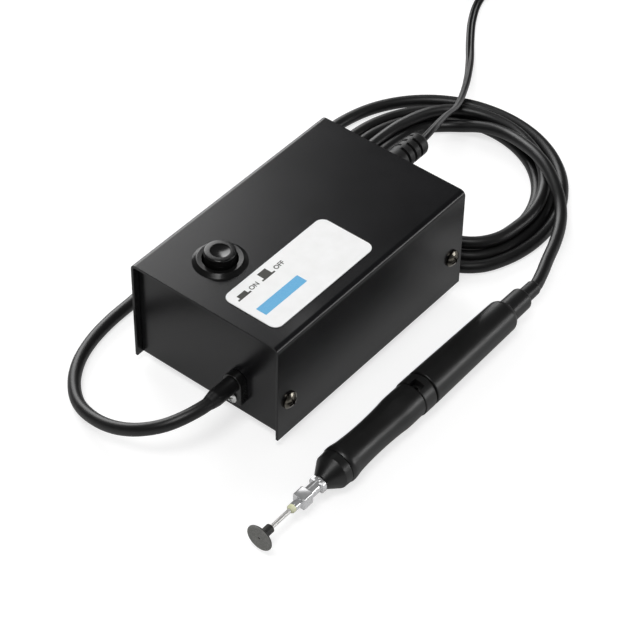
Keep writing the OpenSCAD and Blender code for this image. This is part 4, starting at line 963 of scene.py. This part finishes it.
tail = lathe("tail_step", closed(eased(
    (112.2, 1.3, 0), (112.2, 2.95, 0), (126.1, 2.95, 0), (126.1, 4.15, 0.15), (135.7, 4.0, 1.3),
    (135.7, 1.3, 0))), PEN, ALONG, 64)
settle(tail, pen_plastic, stands_for=["tail_plug"])
tail_sleeve = lathe("tail_sleeve_tube", closed(eased(
    (135.7, 1.65, 0), (135.7, 2.75, 0.1), (141.6, 2.65, 0.8), (142.5, 2.25, 0.1), (142.5, 2.1, 0),
    (139.3, 2.1, 0), (139.3, 1.65, 0))), PEN, ALONG, 48)
settle(tail_sleeve, hose_rubber, stands_for=["tail_sleeve"])

# %% [markdown]
# ## A spring and a diaphragm
# Two hidden pieces change their shape when the tool works. The return spring is pressed together under
# the button; here it is drawn as a wire curve of one fixed shape. The rubber diaphragm is clamped at its
# edge and carried by the arm at its middle, so its dome bends from one to the other; here the sheet and
# its dome are one fixed solid.

# %% Return spring
SPRING_R, SPRING_LOW, SPRING_HIGH, SPRING_TURNS, WIRE_D = 3.8, 35.4, 40, 3, 0.6
winding = np.linspace(0, 1, 24 * SPRING_TURNS + 1)
spring_route = np.column_stack([
    SWITCH[0] + SPRING_R * np.cos(math.tau * SPRING_TURNS * winding),
    SWITCH[1] + SPRING_R * np.sin(math.tau * SPRING_TURNS * winding),
    SPRING_LOW + (SPRING_HIGH - SPRING_LOW) * winding])
spring = soft_line("return_spring", spring_route)
spring.data.bevel_depth = WIRE_D / 2 * MM
spring.data.bevel_resolution = 3
spring.data.use_fill_caps = True
take(spring)
bpy.ops.object.convert(target="MESH")
spring = settle(bpy.context.object, bright_zinc, stands_for=["switch_spring"])
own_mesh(spring)

# %% Diaphragm with its dome
DOME = (-3, 5, 0)
SHEET_LOW, SHEET_TOP, DOME_LOW, DOME_TOP = 14, 14.8, 17, 17.8
sheet = block("diaphragm_sheet", (-12, -4, SHEET_LOW), (6, 14, SHEET_TOP))
cut(sheet, lathe("dome_hole", [(13, 0), (13, 4.8), (16, 4.8), (16, 0)], DOME, (0, 0, 1)))
for x in (-10, 4):
    for y in (-2, 12):
        cut(sheet, lathe("screw_hole", [(13, 0), (13, 0.9), (16, 0.9), (16, 0)], (x, y, 0), (0, 0, 1), 20))
flanks = np.linspace(0, 1, 7)[:, None]
outside = np.array((SHEET_TOP, 5.8)) * (1 - flanks) + np.array((DOME_TOP, 3.2)) * flanks
inside = np.array((DOME_LOW, 2.6)) * (1 - flanks) + np.array((SHEET_LOW, 4.8)) * flanks
dome = lathe("dome", closed([*map(tuple, outside), (DOME_TOP, 1.2), (DOME_LOW, 1.2), *map(tuple, inside)]),
             DOME, (0, 0, 1))
modify(sheet, "BOOLEAN", operation="UNION", object=dome, solver="EXACT")
bpy.data.objects.remove(dome)
settle(sheet, foot_rubber, None, ["diaphragm"])
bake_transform(sheet)

# %% [markdown]
# ## The pump inside
# Nobody sees the pump until the cover comes off, and its solids are exact, so they stay. They still get
# the finishes of the real parts: laminated iron, enamelled copper wire, moulded white plastic, zinc plate
# and brass.

# %% Winding, laminations and the rest
copper_wire = Finish("copper_wire", Metallic=1.0)
strands = copper_wire.node(
    "ShaderNodeTexWave", {"bands_direction": "Y"},
    {"Vector": copper_wire.place, "Scale": 900, "Distortion": 0.4})
copper_wire.tint(strands, (0.3, 0.11, 0.045), (0.62, 0.27, 0.12), 0.1, 0.8)
copper_wire.set("Roughness", 0.36 - strands * 0.12)
copper_wire.bump(strands, 0.5, 0.1)
copper_wire = copper_wire.material
core_iron = Finish("core_iron", Metallic=1.0)
sheets = core_iron.node(
    "ShaderNodeTexWave", {"bands_direction": "X"}, {"Vector": core_iron.place, "Scale": 620})
core_iron.tint(sheets, (0.12, 0.12, 0.125), (0.3, 0.3, 0.31), 0.05, 0.4)
core_iron.set("Roughness", 0.5 - sheets * 0.1)
core_iron.bump(sheets, 0.4, 0.06)
core_iron = core_iron.material
kept = {
    case_paint: ["chassis"],
    switch_gloss: ["switch_nut"],
    pen_plastic: ["switch_body", "pen_core"],
    bright_zinc: ["pump_base", "pump_screws", "core_screws", "clamp_plate", "clamp_screws", "chamber_screws",
                  "armature_pin", "armature_arm", "diaphragm_stud"],
    turned_brass: ["switch_terminals", "outlet_nipple", "tail_nipple"],
    core_iron: ["magnet_core", "armature_magnet"],
    copper_wire: ["coil_winding"],
    white_plastic: ["coil_bobbin", "pump_chamber", "chamber_cover", "switch_wire"],
    foot_rubber: ["pump_grommets", "valve_flaps", "nose_seal"],
    hose_rubber: ["suction_tube"],
    cord_vinyl: ["supply_wires"],
}
for material, names in kept.items():
    for name in names:
        for place in nodes[name].material_slots:
            place.material = material
shown = [name for name, node in nodes.items() if not node.hide_render]
print("solids kept:", len(shown), "without a finish:", sorted(set(shown) - set(sum(kept.values(), []))))

# %% [markdown]
# ## The cords' facts
# A cord is soft, so what counts is its length, its width, where it leaves the object and what is on its
# end. Each cord's length is printed where it is laid; its width is HOSE_D or CORD_W.

# %% [markdown]
# ## Floor and light
# Black gloss is drawn by what it mirrors: a white table, a bright side and a darker one. The table is
# pale and keeps a soft shadow. For the camera and for mirror rays it also glows a little, so that it
# stays white without more light on the object. For mirror rays the glow is dimmed in a fixed strip under
# and beside the pen: a painted shadow that stands for the pen's own shadow. A large soft lamp stands at
# the left and behind, a smaller one overhead in front, and a strip at the right and behind draws the
# line along the pen. A tiny card of light over the case gives the chrome hub something bright to
# mirror, as a photographer does with a slip of white paper.

# %% White table
TABLE_GLOW = 0.7
MIRRORED_GLOW = 0.38
SHADOW_TAKES = 0.3
clear()
bpy.ops.mesh.primitive_plane_add(size=8)
table = bpy.context.object
table.name = "table"
table_white = Finish("table_white", Roughness=0.9, Emission_Strength=TABLE_GLOW)
speck = table_white.noise(30, 3)
table_white.tint(speck, (0.4, 0.4, 0.4), (0.42, 0.42, 0.42))
seen, mirrored, passed = (table_white.node("ShaderNodeLightPath", {}, {}, f"Is {ray} Ray")
                          for ray in ("Camera", "Glossy", "Transmission"))
across, along = (table_white.node("ShaderNodeSeparateXYZ", {}, {"Vector": table_white.place}, axis)
                 for axis in "XY")


def band(place, low, high, soft):
    """1 between two places on the table, with soft ends."""
    inside = 1
    for start, end in ((low - soft, low), (high + soft, high)):
        reach = {"Value": place, "From Min": start * MM, "From Max": end * MM}
        inside = inside * table_white.node("ShaderNodeMapRange", {"interpolation_type": "SMOOTHSTEP"}, reach)
    return inside


# Painted shadow: in a fixed strip under and beside the pen, mirror rays see the table's glow dimmed.
painted_shadow = band(across, 45, 57, 9) * band(along, -46, 52, 10)
table_white.set("Emission Color", seen + passed + mirrored * (MIRRORED_GLOW - painted_shadow * SHADOW_TAKES))
table.data.materials.append(table_white.material)

# %% World: white to the camera, a darker room with a pale horizon to mirrors
ROOM_FILL = 0.33
world = bpy.data.worlds.new("studio")
bpy.context.scene.world = world
room = Nodes(world)
heading = room.node("ShaderNodeTexCoord", {}, {}, "Generated")
height = room.node("ShaderNodeSeparateXYZ", {}, {"Vector": heading}, "Z")
wall = room.node("ShaderNodeMapRange", {"interpolation_type": "SMOOTHSTEP"},
                 {"Value": height, "From Min": 0.0, "From Max": 0.3, "To Min": 0.2, "To Max": 0.07})
seen, mirrored, passed = (room.node("ShaderNodeLightPath", {}, {}, f"Is {ray} Ray")
                          for ray in ("Camera", "Glossy", "Transmission"))
strength = seen + passed + mirrored * wall + (1 - seen - passed - mirrored) * ROOM_FILL
room.feed(room.tree.nodes["Background"].inputs["Strength"], strength)
room.feed(room.tree.nodes["Background"].inputs["Color"], (1, 1, 1, 1))


# %% Lamps
def lamp(name, place, aim, wide, high, power):
    """A soft lamp of a width and height that looks at a point."""
    place, aim = Vector(place), Vector(aim)
    turn = (place - aim).to_track_quat("Z", "Y").to_euler()
    bpy.ops.object.light_add(type="AREA", location=place, rotation=turn)
    light = bpy.context.object
    light.name = name
    light.data.shape = "RECTANGLE"
    light.data.size = wide
    light.data.size_y = high
    light.data.energy = power
    return light


clear()
lamp("left_softbox", (-1.05, 0.54, 0.6), (0, 0, 0.02), 0.74, 0.95, 12)
lamp("front_softbox", (0.12, -0.48, 1.41), (0, 0, 0), 0.55, 0.55, 9)
lamp("right_back_strip", (1.0, 0.73, 0.34), (0, 0, 0.02), 0.6, 0.22, 3.1)
lamp("hub_card", (0.0052, -0.0015, 0.0858), (0.0539, -0.0632, 0.0089), 0.012, 0.01, 0.0006)

# %% [markdown]
# ## The view transform
# Colours are shown with Blender's standard view transform.

# %% Finish
bpy.context.scene.view_settings.view_transform = "Standard"
